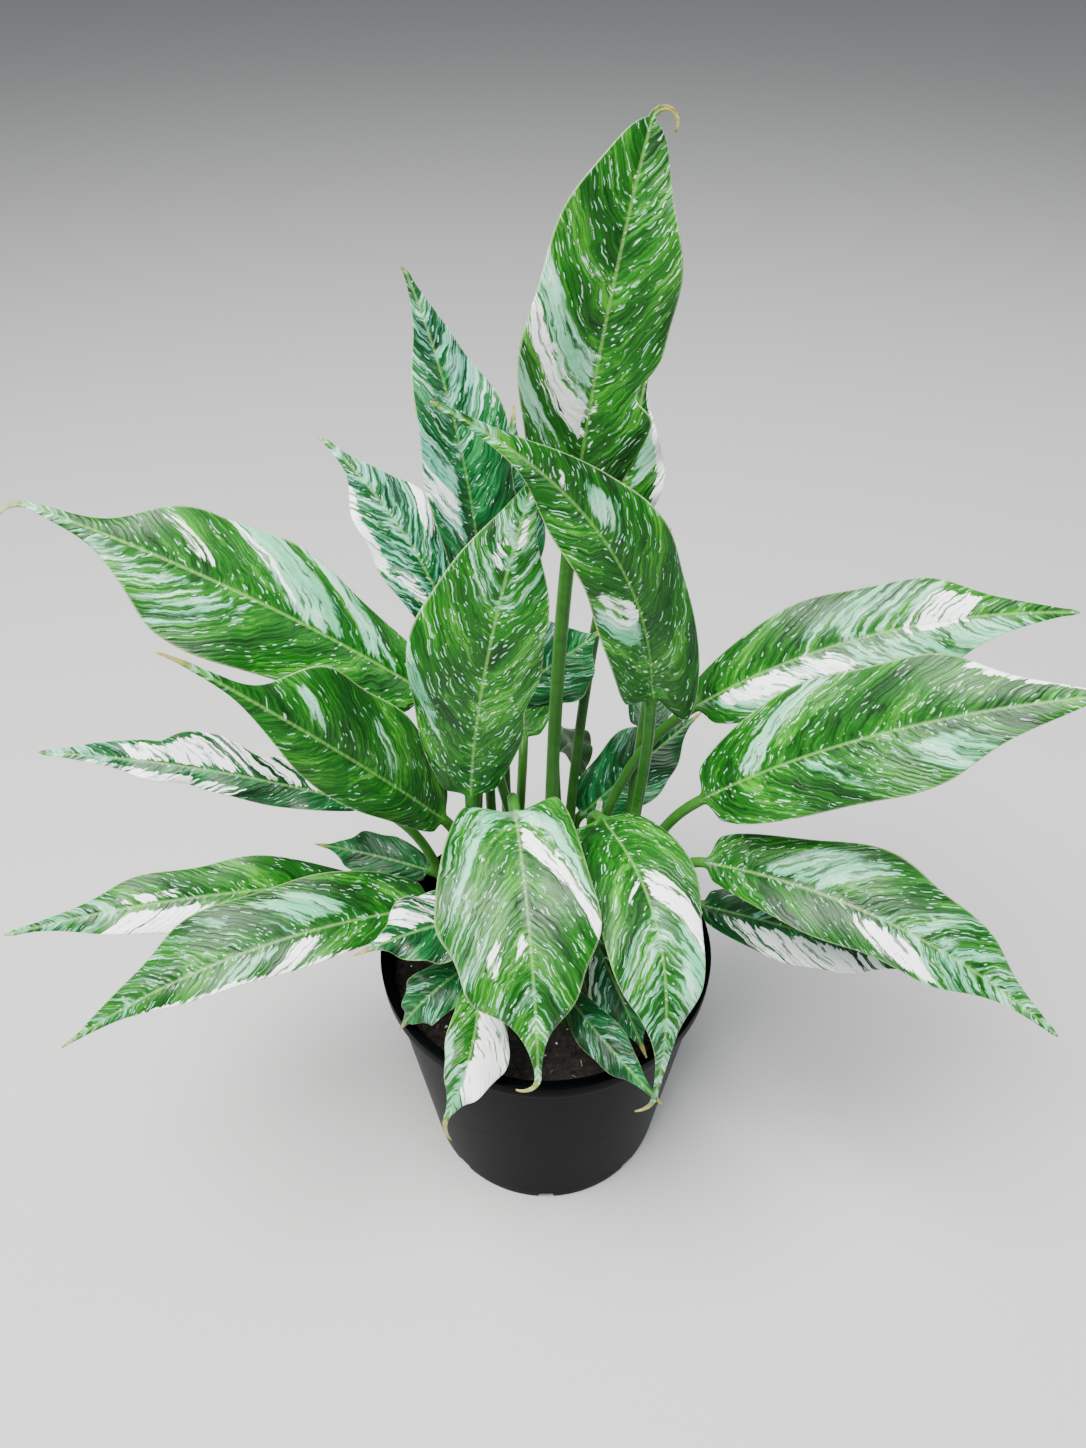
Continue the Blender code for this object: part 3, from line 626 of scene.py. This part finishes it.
def leaf_mesh(leaf, material):
    """The fine mesh of a leaf in metres, with what its material and the vein tree read."""
    v = np.sin(np.linspace(-1, 1, ACROSS_STEPS) * EDGE_CROWDING) / math.sin(EDGE_CROWDING)
    start = np.linspace(0, 1, BLADE_STEPS) ** BASE_CROWDING
    t = np.concatenate([start, np.linspace(1, leaf.last, TAIL_STEPS + 1)[1:]])
    t_grid, v_grid = np.meshgrid(t, v, indexing="ij")
    skin = leaf.surface(t_grid, v_grid)
    across = leaf.surface(t_grid, np.minimum(v_grid + NUDGE[0], 1))
    across = across - leaf.surface(t_grid, np.maximum(v_grid - NUDGE[0], -1))
    ahead = leaf.surface(np.minimum(t_grid + NUDGE[1], leaf.last), v_grid)
    ahead = ahead - leaf.surface(np.maximum(t_grid - NUDGE[1], 0), v_grid)
    points, _, rights, uppers = leaf.frames(t * leaf.body_length)
    normals = np.cross(across, ahead)
    below = (normals * uppers[:, None, :]).sum(-1) < 0
    normals = unit(np.where(below[..., None], -normals, normals) + uppers[:, None, :] * 1e-6)
    half = leaf.half_width(t_grid, v_grid)
    edge_thin = BLADE_THICKNESS / 2 * (1 - 0.5 * np.abs(v_grid) ** 8)
    rib = RIB_DEPTH * (1 - smooth(t_grid)) * np.exp(-((v_grid * half / RIB_HALF_WIDTH) ** 2))
    groove = np.exp(-((v_grid * half / GROOVE_HALF_WIDTH) ** 2))
    groove = GROOVE_DEPTH * (1 - smooth(t_grid)) * groove
    top = skin + normals * (edge_thin - groove)[..., None]
    low = skin - normals * (edge_thin + rib)[..., None]
    rings = [circle_points(*ring) for ring in zip(*leaf.stalk_rings())]
    stalk_count = len(rings)
    for i, station in enumerate(t):
        flat = np.vstack([top[i], low[i][::-1]])
        opened = smooth(station / OPENING)
        round_part = circle_points(points[i], rights[i], uppers[i], leaf.stem)
        rings.append(round_part * (1 - opened) + flat * opened)
    lean = VEIN_SLANT[0] * np.abs(v_grid) + VEIN_SLANT[1] * v_grid**2
    vein_root = t_grid - lean * half / leaf.body_length
    size = 2 * ACROSS_STEPS
    faces = []
    for i in range(len(rings) - 1):
        for j in range(size):
            a, b = i * size + j, i * size + (j + 1) % size
            faces.append((a, b, b + size, a + size))
    last = (len(rings) - 1) * size
    faces += [tuple(range(size))[::-1], tuple(range(last, last + size))]
    piece = mesh_piece(leaf.node.replace("leaf_", "blade_"), np.vstack(rings) * MM, faces, material)

    def both_sides(values, on_stalk=0):
        """Blade values for the upper and then the lower side of each ring."""
        blade = np.concatenate([values, values[:, ::-1]], axis=1)
        stalk = np.broadcast_to(on_stalk, (stalk_count, size) + values.shape[2:])
        return np.concatenate([stalk, blade]).reshape((-1,) + values.shape[2:])

    values = {
        "vein": both_sides(vein_root * leaf.body_length * MM),
        "across": both_sides(v_grid),
        "out": both_sides(v_grid * half * MM),
        "blade": both_sides(smooth(t_grid / OPENING)),
        "white": both_sides(patch_amount(leaf.white, vein_root, v_grid)),
        "mint": both_sides(patch_amount(leaf.mint, vein_root, v_grid)),
        "flecks": np.full(len(rings) * size, leaf.flecks),
        "seed": np.full(len(rings) * size, abs(leaf.foot[0] * 7.3 + leaf.foot[1] * 3.1) % 50),
        "end": both_sides(DRY_TIP * smooth((t_grid - 1) / 0.06)),
        "under": np.tile(np.repeat([0.0, 1.0], ACROSS_STEPS), len(rings)),
    }
    for name, numbers in values.items():
        piece.data.attributes.new(name, "FLOAT", "POINT").data.foreach_set("value", numbers)
    upper_side = both_sides(normals * smooth(t_grid / 0.1)[..., None], (0, 0, 0))
    piece.data.attributes.new("lift", "FLOAT_VECTOR", "POINT").data.foreach_set(
        "vector", upper_side.ravel()
    )
    return piece


# Leaf skin: waxy and satin, so that it mirrors the sky softly. The green is mottled, and where the
# cells lack it there are mint and white streaks that follow the lateral veins, and small flecks.
LEAF_VALUES = ("vein", "out", "across", "seed", "blade", "white", "mint", "flecks", "under", "end")
WAVER = (0.012, 0.012, 0)  # metres by which the streaks wander
RIDGE_SPACING = 0.0042  # metres
# Noise drawn out along the veins: its name, grains a metre along the midrib and outwards, and detail.
STREAKS = (
    ("broad", 55, 26, 3), ("fine", 480, 130, 3), ("mint", 240, 70, 7), ("white", 210, 40, 5),
    ("dash", 360, 150, 5), ("spark", 620, 330, 5), ("hole", 260, 80, 6), ("ridge", 800, 60, 1),
)


def leaf_material(name, deep, middle, light, mint, pale_mint, white):
    """A variegated skin, which reads the values that the leaf's mesh holds."""
    made, tree, shader = new_material(name)
    given = {}
    for label in LEAF_VALUES:
        given[label] = add(tree, "ShaderNodeAttribute", attribute_name=label).outputs["Fac"]
    net = add(tree, "ShaderNodeCombineXYZ", (given["vein"], given["out"], given["seed"]))
    place = add(tree, "ShaderNodeTexCoord").outputs["Object"]
    waver = add(tree, "ShaderNodeTexNoise", {"Vector": place, "Scale": 75, "Detail": 3})
    waver = add(tree, "ShaderNodeVectorMath", {0: waver.outputs["Color"], 1: WAVER},
                operation="MULTIPLY")
    net = add(tree, "ShaderNodeVectorMath", (net, waver), operation="ADD")
    noises = {}
    for label, along, outwards, detail in STREAKS:
        drawn = add(tree, "ShaderNodeMapping",
                    {"Vector": net, "Location": (0, 0, along), "Scale": (along, outwards, 1)})
        noises[label] = add(tree, "ShaderNodeTexNoise",
                            {"Vector": drawn, "Scale": 1, "Detail": detail, "Roughness": 0.6})
    # What decides each mark. Leaves with more flecks have more dashes and sparks, in crowds.
    mottle = add(tree, "ShaderNodeMix", {0: 0.45, 2: noises["broad"], 3: noises["fine"]})
    mint_sum = add(tree, "ShaderNodeMath", (noises["mint"], 1.7, given["mint"]),
                   operation="MULTIPLY_ADD")
    white_sum = add(tree, "ShaderNodeMath", (noises["white"], 1.7, given["white"]),
                    operation="MULTIPLY_ADD")
    crowded = add(tree, "ShaderNodeMath", (given["flecks"], 0.1, -0.12), operation="MULTIPLY_ADD")
    crowded = add(tree, "ShaderNodeMath", (noises["broad"], 0.24, crowded), operation="MULTIPLY_ADD")
    dash_sum = add(tree, "ShaderNodeMath", (crowded, noises["dash"]))
    spark_sum = add(tree, "ShaderNodeMath", (crowded, noises["spark"]))
    off = add(tree, "ShaderNodeMath", (given["out"],), operation="ABSOLUTE")
    amounts = {}
    for label, value, start, end, least, most in (
        ("middle", mottle, 0.36, 0.54, 0, 1), ("light", mottle, 0.5, 0.68, 0, 1),
        ("holes", noises["hole"], 0.55, 0.62, 1, 0.12), ("mint", mint_sum, 1.2, 1.46, 0, 1),
        ("dash", dash_sum, 0.72, 0.78, 0, 0.85), ("white", white_sum, 1.32, 1.4, 0, 1),
        ("spark", spark_sum, 0.73, 0.77, 0, 0.9), ("rib", off, 0.0011, 0.0003, 0, 0.4),
    ):
        amounts[label] = add(
            tree, "ShaderNodeMapRange",
            {"Value": value, "From Min": start, "From Max": end, "To Min": least, "To Max": most},
            interpolation_type="SMOOTHSTEP",
        )
    # Mint and white patches have edges broken by the streaks, and holes of green in them.
    for label, fleck in (("mint", "dash"), ("white", "spark")):
        holed = add(tree, "ShaderNodeMath", (amounts[label], amounts["holes"]), operation="MULTIPLY")
        amounts[label] = add(tree, "ShaderNodeMath", (holed, amounts[fleck]), operation="MAXIMUM")
    mint_share = add(tree, "ShaderNodeMapRange",
                     {"Value": noises["broad"], "From Min": 0.42, "From Max": 0.62})
    mint_tone = add(tree, "ShaderNodeMix", {0: mint_share, 6: mint, 7: pale_mint}, data_type="RGBA")
    # Single pale dots of a cell or two.
    cells = add(tree, "ShaderNodeMapping", {"Vector": net, "Scale": (430, 210, 1)})
    cells = add(tree, "ShaderNodeTexVoronoi", {"Vector": cells, "Scale": 1}, voronoi_dimensions="2D")
    dot = add(tree, "ShaderNodeMapRange",
              {"Value": cells.outputs["Distance"], "From Min": 0.22, "From Max": 0.14})
    lot = add(tree, "ShaderNodeSeparateColor", (cells.outputs["Color"],)).outputs[0]
    rare = add(tree, "ShaderNodeMath", (given["flecks"], 0.45), operation="MULTIPLY")
    rare = add(tree, "ShaderNodeMath", (lot, rare), operation="LESS_THAN")
    dot = add(tree, "ShaderNodeMath", (dot, rare), operation="MULTIPLY")
    dot = add(tree, "ShaderNodeMath", (dot, 0.7), operation="MULTIPLY")
    edge = add(tree, "ShaderNodeMath", (given["across"],), operation="ABSOLUTE")
    rim = add(tree, "ShaderNodeMapRange",
              {"Value": edge, "From Min": 0.97, "From Max": 0.998, "To Max": 0.45})
    below = add(tree, "ShaderNodeMath", (given["under"], 0.4), operation="MULTIPLY")
    # Each colour lies over the ones before it. The midrib and the thin rim are paler, the drawn-out
    # tip is dry and straw coloured, and the underside is duller.
    colour = deep
    for amount, over in (
        (amounts["middle"], middle), (amounts["light"], light), (amounts["mint"], mint_tone),
        (dot, pale_mint), (amounts["white"], white), (amounts["rib"], linear("#7fb75a")),
        (rim, linear("#b9d893")), (given["end"], linear("#9c8a4c")), (below, linear("#5f9150")),
    ):
        colour = add(tree, "ShaderNodeMix", {0: amount, 6: colour, 7: over}, data_type="RGBA")
    stalk_share = add(tree, "ShaderNodeMapRange",
                      {"Value": noises["broad"], "From Min": 0.35, "From Max": 0.65})
    stalk = add(tree, "ShaderNodeMix", {0: stalk_share, 6: linear("#174d10"), 7: linear("#3f7f2a")},
                data_type="RGBA")
    colour = add(tree, "ShaderNodeMix", {0: given["blade"], 6: stalk, 7: colour}, data_type="RGBA")
    tree.links.new(colour.outputs[2], shader.inputs["Base Color"])
    rough = add(tree, "ShaderNodeMapRange", {"Value": noises["fine"], "To Min": 0.28, "To Max": 0.5})
    tree.links.new(rough.outputs[0], shader.inputs["Roughness"])
    shader.inputs["Specular IOR Level"].default_value = 0.3
    ridges = add(tree, "ShaderNodeSeparateXYZ", (net,)).outputs[0]
    ridges = add(tree, "ShaderNodeMath", (ridges, math.tau / RIDGE_SPACING), operation="MULTIPLY")
    ridges = add(tree, "ShaderNodeMath", (ridges,), operation="SINE")
    ridges = add(tree, "ShaderNodeMath", (ridges, 0.16, noises["broad"]), operation="MULTIPLY_ADD")
    relief = add(tree, "ShaderNodeMix", {0: 0.6, 2: noises["ridge"], 3: ridges})
    bump = add(tree, "ShaderNodeBump", {"Height": relief, "Strength": 0.6, "Distance": 0.0012})
    tree.links.new(bump.outputs[0], shader.inputs["Normal"])
    return made


# The three tones, each as deep, middle and light green, mint, pale mint and white.
# The blue-green is darker than the green. On leaf_right_dark and the small leaves low by the pot it is
# painted shade.
TONES = (
    ("green", "variegated_leaf_green", "#042b04 #12580c #479c26 #5cb886 #a8e0c2 #fbfffa"),
    ("blue_green", "variegated_leaf_blue_green", "#02240c #0c4f1f #2f8f4f #5ebb9b #ade2d0 #fafffb"),
    ("white", "young_leaf_white", "#a9c795 #cfe0bd #e6f0d9 #dcefe0 #e9f5ea #f7fbf2"),
)
LEAF_MATERIALS = {
    tone: leaf_material(name, *map(linear, colours.split())) for tone, name, colours in TONES
}

LEAVES = (
    Leaf("leaf_tall", (2, 22), (12, 38, 431), (40, 50, 603), (-84, 15), (34, 28), arch=8, swerve=-4,
         fold=22, cup=0.15, belly=0.43, full=0.62, lobes=(0.1, 0.1), drip=0.1,
         notches=((1, 0.36, 0.05, 0.34),), wave=3, waves=2.3, tail=(19, 10, 200), stem=3.7,
         flecks=0.75,
         white=((0.27, 0.36, -1, -0.03, 1), (0.35, 0.38, 0.03, 0.25, 0.87)),
         mint=((0.36, 0.47, -1.1, -0.06, 1), (0.12, 0.2, -1, -0.4, 0.81))),
    Leaf("leaf_left_back", (-32, 42), (-33, 44, 374), (-62, 76, 536), (-55, 15), (24, 25), arch=8,
         swerve=4, fold=24, belly=0.4, tail=(5, 0, -30), tone="blue_green", flecks=0.6,
         white=((0.22, 0.36, -1.1, -0.35, 0.87), (0.2, 0.25, 0.1, 0.5, 0.81)),
         mint=((0.5, 1.1, -1.1, 1.1, 0.56), (0.2, 0.5, -1.1, -0.3, 0.87))),
    Leaf("leaf_arched", (45, 16), (52, 0, 355), (-40, -20, 517), (-60, 22), (25, 28), arch=14,
         swerve=20, fold=22, belly=0.25, full=0.9, drip=0.5, lobes=(0.1, 1.2), tail=(6, 10, 0),
         flecks=0.75,
         white=((0.26, 0.34, -0.8, -0.06, 1), (0.68, 0.74, 0.1, 0.55, 0.81)),
         mint=((0.18, 0.27, -0.95, -0.1, 0.94), (0.5, 0.6, 0.2, 0.65, 0.94),
             (0.85, 1.2, -1.1, 1.1, 0.53))),
    Leaf("leaf_behind_tall", (13, 50), (33, 75, 391), (48, 95, 477), (-100, 10), (19, 19), arch=5,
         wave=3, flecks=0.5,
         white=((0, 1, 0.8, 1.1, 1),),
         mint=((0.4, 0.7, 0.2, 0.9, 0.87),)),
    Leaf("leaf_pale_back", (-24, 62), (-23, 80, 362), (-17, 100, 455), (-90, 10), (20, 20),
         tone="blue_green", flecks=0.2,
         mint=((0, 1, -1.1, 1.1, 0.5),)),
    Leaf("leaf_front_tall", (-18, 4), (-39, -16, 305), (-5, 6, 475), (-90, 25), (36, 27), arch=10,
         swerve=-5, lobes=(0.3, 0.3), notches=((1, 0.3, 0.07, 0.2), (-1, 0.08, 0.06, 0.2)),
         flecks=0.85,
         white=((0.72, 0.8, -0.5, -0.1, 0.87), (0.8, 0.95, 0.1, 0.6, 0.81)),
         mint=((0.6, 0.95, -1, 1, 0.56), (0.1, 0.2, -1.1, -0.6, 0.87))),
    Leaf("leaf_left_middle", (-44, 31), (-46, 34, 366), (-105, 66, 461), (-50, 35), (22, 23),
         swerve=4, drip=0.5, tail=(6, 30, -20), tone="blue_green", flecks=0.8,
         white=((0.2, 0.75, -1.1, -0.78, 1), (0.15, 0.3, -0.7, -0.3, 0.87),
             (0.3, 0.45, 0.5, 1.1, 0.84)),
         mint=((0, 1.2, -1.1, 1.1, 0.6),)),
    Leaf("leaf_big_left", (-52, 16), (-59, 10, 351), (-224, 0, 464), (-70, 50), (34, 32), arch=12,
         swerve=2, belly=0.46, full=0.64, drip=0.75, lobes=(0.15, 0.15), tail=(15, 20, -80),
         flecks=0.55,
         white=((0.37, 0.41, 0.1, 1.1, 0.94), (0.12, 0.15, 0.1, 0.8, 0.84),
             (0.57, 0.62, 0.2, 0.9, 0.91)),
         mint=((0.25, 0.4, 0.08, 1.1, 1), (0.12, 0.2, 0.1, 1.1, 0.97), (0.9, 1.3, -1.1, 1.1, 0.65),
             (0.45, 0.9, -1, -0.1, 0.59))),
    Leaf("leaf_right_tip", (48, 36), (57, 48, 331), (62, 60, 405), (-90, 15), (13, 13), arch=4,
         tail=(12, 0, 0), flecks=0.4,
         mint=((0.9, 1.3, -1.1, 1.1, 0.59),)),
    Leaf("leaf_left_low", (-44, 2), (-55, -6, 278), (-147, -58, 419), (-70, 50), (20, 34), arch=12,
         belly=0.44, full=0.68, drip=0.75, swerve=-1, tail=(18, 10, -10), flecks=0.4,
         mint=((0.6, 0.64, 0.15, 0.75, 0.94), (0.31, 0.35, 0.15, 0.7, 0.94),
             (0.48, 0.5, -0.35, -0.05, 0.87), (0.92, 1.3, -1.1, 1.1, 0.59))),
    Leaf("leaf_big_right", (57, 26), (84, 5, 282), (251, -40, 391), (-100, 50), (36, 32), arch=12,
         swerve=-8, flecks=0.7,
         white=((0.55, 1, -1.1, -0.86, 1),),
         mint=((0.13, 0.2, -1, -0.1, 0.94), (0.5, 0.72, 0.3, 1, 0.87),
             (0.3, 0.36, 0.1, 0.8, 0.74))),
    Leaf("leaf_right_back", (26, 34), (80, 40, 318), (262, 30, 388), (-105, 45), (27, 29), arch=14,
         swerve=-12, drip=0.4, tail=(4, 10, 0), flecks=0.5,
         white=((0.08, 0.4, 0.05, 0.5, 0.94), (0.58, 0.76, -0.8, 0.2, 0.91)),
         mint=((0.05, 0.9, 0.1, 1.1, 0.74), (0.3, 0.6, -1, 0, 0.66))),
    Leaf("leaf_behind_stalk", (-8, 40), (-19, 57, 316), (26, 63, 350), (-90, 35), (23, 23), arch=6,
         tone="blue_green", flecks=0.4,
         mint=((0.2, 0.5, -1, 1, 0.53),)),
    Leaf("leaf_front_centre", (-10, -12), (-16, -24, 302), (-4, -128, 224), (-92, 45), (34, 43),
         arch=22, swerve=-3, belly=0.27, full=1, drip=0.55, lobes=(0.45, 0.55), tail=(16, 10, 110),
         flecks=0.7,
         white=((0.08, 0.17, -1.1, -0.04, 0.97), (0.46, 0.53, 0.03, 0.22, 1),
             (0.36, 0.5, 0.42, 0.62, 0.91)),
         mint=((0.0, 0.07, -0.95, -0.15, 0.94), (-0.3, 0.06, 0.1, 0.9, 0.7),
             (0.02, 0.36, 0.55, 1.1, 0.6), (0.55, 1.2, -1, 1, 0.4))),
    Leaf("leaf_white_left", (-60, 28), (-102, 30, 253), (-280, 35, 290), (-80, 45), (13, 20),
         arch=10, swerve=5, uneven=0.08, wave=4, waves=4, tail=(5, 20, 0), tone="blue_green",
         notches=((1, 0.32, 0.06, 0.3), (-1, 0.55, 0.07, 0.25), (1, 0.62, 0.05, 0.2)), flecks=0.6,
         white=((0.4, 0.74, 0.08, 0.85, 1), (0.1, 0.4, 0.0, 1.1, 0.75),
             (0.3, 0.85, -1.1, -0.5, 0.84)),
         mint=((0.75, 1.3, -1.1, 1.1, 0.65),)),
    Leaf("leaf_back_droop", (10, 64), (8, 88, 262), (26, 128, 182), (90, 45), (13, 13), arch=10,
         tone="blue_green", flecks=0.4,
         mint=((0.3, 0.6, -1, 1, 0.53),)),
    Leaf("leaf_back_left", (-18, 76), (-14, 98, 246), (-22, 190, 212), (80, 60), (22, 22), arch=22,
         tail=(8, 20, 0), flecks=0.6,
         white=((0.6, 0.7, -1, -0.1, 0.87),),
         mint=((0.3, 0.5, 0.1, 1, 0.87),)),
    Leaf("leaf_back_right", (30, 66), (60, 92, 258), (92, 172, 250), (70, 60), (20, 20), arch=20,
         tail=(8, 20, 0), tone="blue_green", flecks=0.6,
         mint=((0.2, 0.5, -1, -0.1, 0.81),)),
    Leaf("leaf_front_right", (36, -8), (30, 2, 271), (55, -120, 193), (-75, 50), (27, 31), arch=44,
         swerve=-7, belly=0.26, full=1.1, drip=0.6, lobes=(0.3, 0.3), tail=(16, 20, 60), flecks=0.7,
         white=((0.27, 0.38, -1.1, -0.08, 1), (0.3, 0.34, 0.05, 0.4, 0.81)),
         mint=((0.4, 1.2, -1.1, 1.1, 0.59), (0.36, 0.6, -1.1, -0.5, 0.94))),
    Leaf("leaf_young_white", (18, 24), (27, 25, 206), (31, 29, 257), (-90, 20), (5, 5), arch=1,
         tail=(3, 0, 0), tone="white", flecks=0.2),
    # This leaf's darker blue-green tone is painted shade, for the shade it lies in behind the others.
    Leaf("leaf_right_dark", (30, 56), (22, 62, 214), (88, 88, 268), (-90, 50), (23, 21),
         tone="blue_green", arch=6, flecks=0.3,
         mint=((0.2, 0.4, -1, 1, 0.46),)),
    Leaf("leaf_far_left", (-65, 10), (-103, -5, 225), (-275, -60, 250), (-85, 55), (20, 18),
         arch=18, swerve=3, full=0.95, drip=0.35, uneven=0.1, tail=(6, 20, 0), flecks=0.6,
         white=((0.44, 0.68, -1.1, -0.22, 1), (0.52, 0.7, 0.08, 0.4, 0.84)),
         mint=((0.7, 1.3, -1.1, 1.1, 0.6), (0.2, 0.5, -1, -0.2, 0.66))),
    Leaf("leaf_right_front", (66, -2), (89, 0, 238), (259, -95, 215), (-100, 55), (32, 22), arch=26,
         full=0.8, drip=0.45, uneven=0.08, swerve=-10, tail=(6, 20, 0), flecks=0.75,
         white=((0.42, 0.58, 0.2, 0.9, 0.91),),
         mint=((0.15, 0.35, -0.8, -0.1, 0.81), (0.5, 1.2, -1.1, 1.1, 0.56))),
    Leaf("leaf_left_front", (-54, -12), (-62, -20, 223), (-240, -95, 211), (-90, 60), (17, 30),
         arch=26, swerve=6, full=0.72, drip=0.4, tail=(14, 10, 0), flecks=0.75,
         white=((0.3, 0.42, -0.95, -0.15, 0.7), (0.1, 0.8, -1.1, -0.86, 0.87)),
         mint=((0.22, 0.36, 0.2, 0.8, 1), (0.45, 0.55, -0.8, -0.2, 0.87), (0.36, 1.2, 0, 1.1, 0.4),
             (0.8, 1.3, -1.1, 1.1, 0.48))),
    Leaf("leaf_under_left", (-40, -24), (-38, -30, 224), (-89, -70, 250), (-90, 65), (20, 20),
         wave=3, tone="blue_green", flecks=0.5,
         white=((0, 1, 0.1, 1.1, 0.74),)),
    Leaf("leaf_small_left", (-50, 40), (-73, 42, 185), (-139, 60, 188), (-90, 60), (15, 15), arch=6,
         tone="blue_green", flecks=0.3),
    Leaf("leaf_under_right", (60, 10), (94, 15, 184), (217, -25, 174), (-90, 55), (20, 20), arch=14,
         wave=3, tone="blue_green", flecks=0.5,
         white=((0.1, 0.8, 0.2, 1.1, 0.87),),
         mint=((0.2, 1, -1, 0, 0.66),)),
    # The darker blue-green tone of this leaf, leaf_pot_right and leaf_pot_right_low is painted shade,
    # for the shade low by the pot.
    Leaf("leaf_pot_left", (-50, -36), (-43, -40, 197), (-79, -62, 174), (-90, 60), (14, 14),
         tone="blue_green", arch=14, flecks=0.4,
         mint=((0.3, 0.6, -1, 1, 0.46),)),
    Leaf("leaf_front_small", (-30, -34), (-37, -55, 208), (-52, -116, 169), (-75, 45), (20, 14),
         arch=12, swerve=-3, wave=3, tail=(17, 10, -60), flecks=0.7,
         white=((0.05, 0.8, -1.1, -0.06, 1),),
         mint=((0.55, 1.2, -1.1, 1.1, 0.7), (0.2, 0.5, 0.7, 1.1, 0.81))),
    Leaf("leaf_pot_right", (26, -24), (29, -35, 208), (51, -80, 182), (-90, 50), (18, 18),
         tone="blue_green", flecks=0.4,
         white=((0.0, 0.2, -1, 1, 0.66),),
         mint=((0.2, 0.5, 0.1, 1, 0.62),)),
    Leaf("leaf_pot_right_low", (12, -46), (11, -64, 203), (54, -112, 185), (-90, 45), (11, 11),
         tone="blue_green", arch=10, flecks=0.4,
         mint=((0.2, 0.8, -1, 1, 0.46),)),
)

# The lateral veins: a tree lowers the skin along each of them and leaves it puffed between.
VEIN_SPACING = 0.0052  # metres
VEIN_DEPTH = 0.0005
tree, group_in, group_out = new_geometry_tree(
    "sunk_veins",
    (("Vein spacing", "NodeSocketFloat", VEIN_SPACING), ("Depth", "NodeSocketFloat", VEIN_DEPTH),
     ("Material", "NodeSocketMaterial", None)),
)
vein = add(tree, "GeometryNodeInputNamedAttribute", {"Name": "vein"}, data_type="FLOAT")
across = add(tree, "GeometryNodeInputNamedAttribute", {"Name": "across"}, data_type="FLOAT")
lift = add(tree, "GeometryNodeInputNamedAttribute", {"Name": "lift"}, data_type="FLOAT_VECTOR")
turns = add(tree, "ShaderNodeMath", (vein, group_in.outputs["Vein spacing"]), operation="DIVIDE")
turns = add(tree, "ShaderNodeMath", (turns, math.pi), operation="MULTIPLY")
puff = add(tree, "ShaderNodeMath", (turns,), operation="SINE")
puff = add(tree, "ShaderNodeMath", (puff,), operation="ABSOLUTE")
puff = add(tree, "ShaderNodeMath", (puff, 0.6), operation="SUBTRACT")
off = add(tree, "ShaderNodeMath", (across,), operation="ABSOLUTE")
inner = add(tree, "ShaderNodeMapRange", {"Value": off, "From Min": 0.04, "From Max": 0.3})
outer = add(tree, "ShaderNodeMapRange", {"Value": off, "From Min": 0.98, "From Max": 0.75})
amount = add(tree, "ShaderNodeMath", (puff, inner), operation="MULTIPLY")
amount = add(tree, "ShaderNodeMath", (amount, outer), operation="MULTIPLY")
amount = add(tree, "ShaderNodeMath", (amount, group_in.outputs["Depth"]), operation="MULTIPLY")
shift = add(tree, "ShaderNodeVectorMath", {0: lift, "Scale": amount}, operation="SCALE")
moved = add(tree, "GeometryNodeSetPosition",
            {"Geometry": group_in.outputs["Geometry"], "Offset": shift})
end_tree(tree, group_out, moved, group_in.outputs["Material"])
for leaf in LEAVES:
    material = LEAF_MATERIALS[leaf.tone]
    plain = leaf_mesh(leaf, material)
    piece = grown(plain, tree, {"Material": material}, plain.name)
    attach(piece, "root")
    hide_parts(leaf.node)
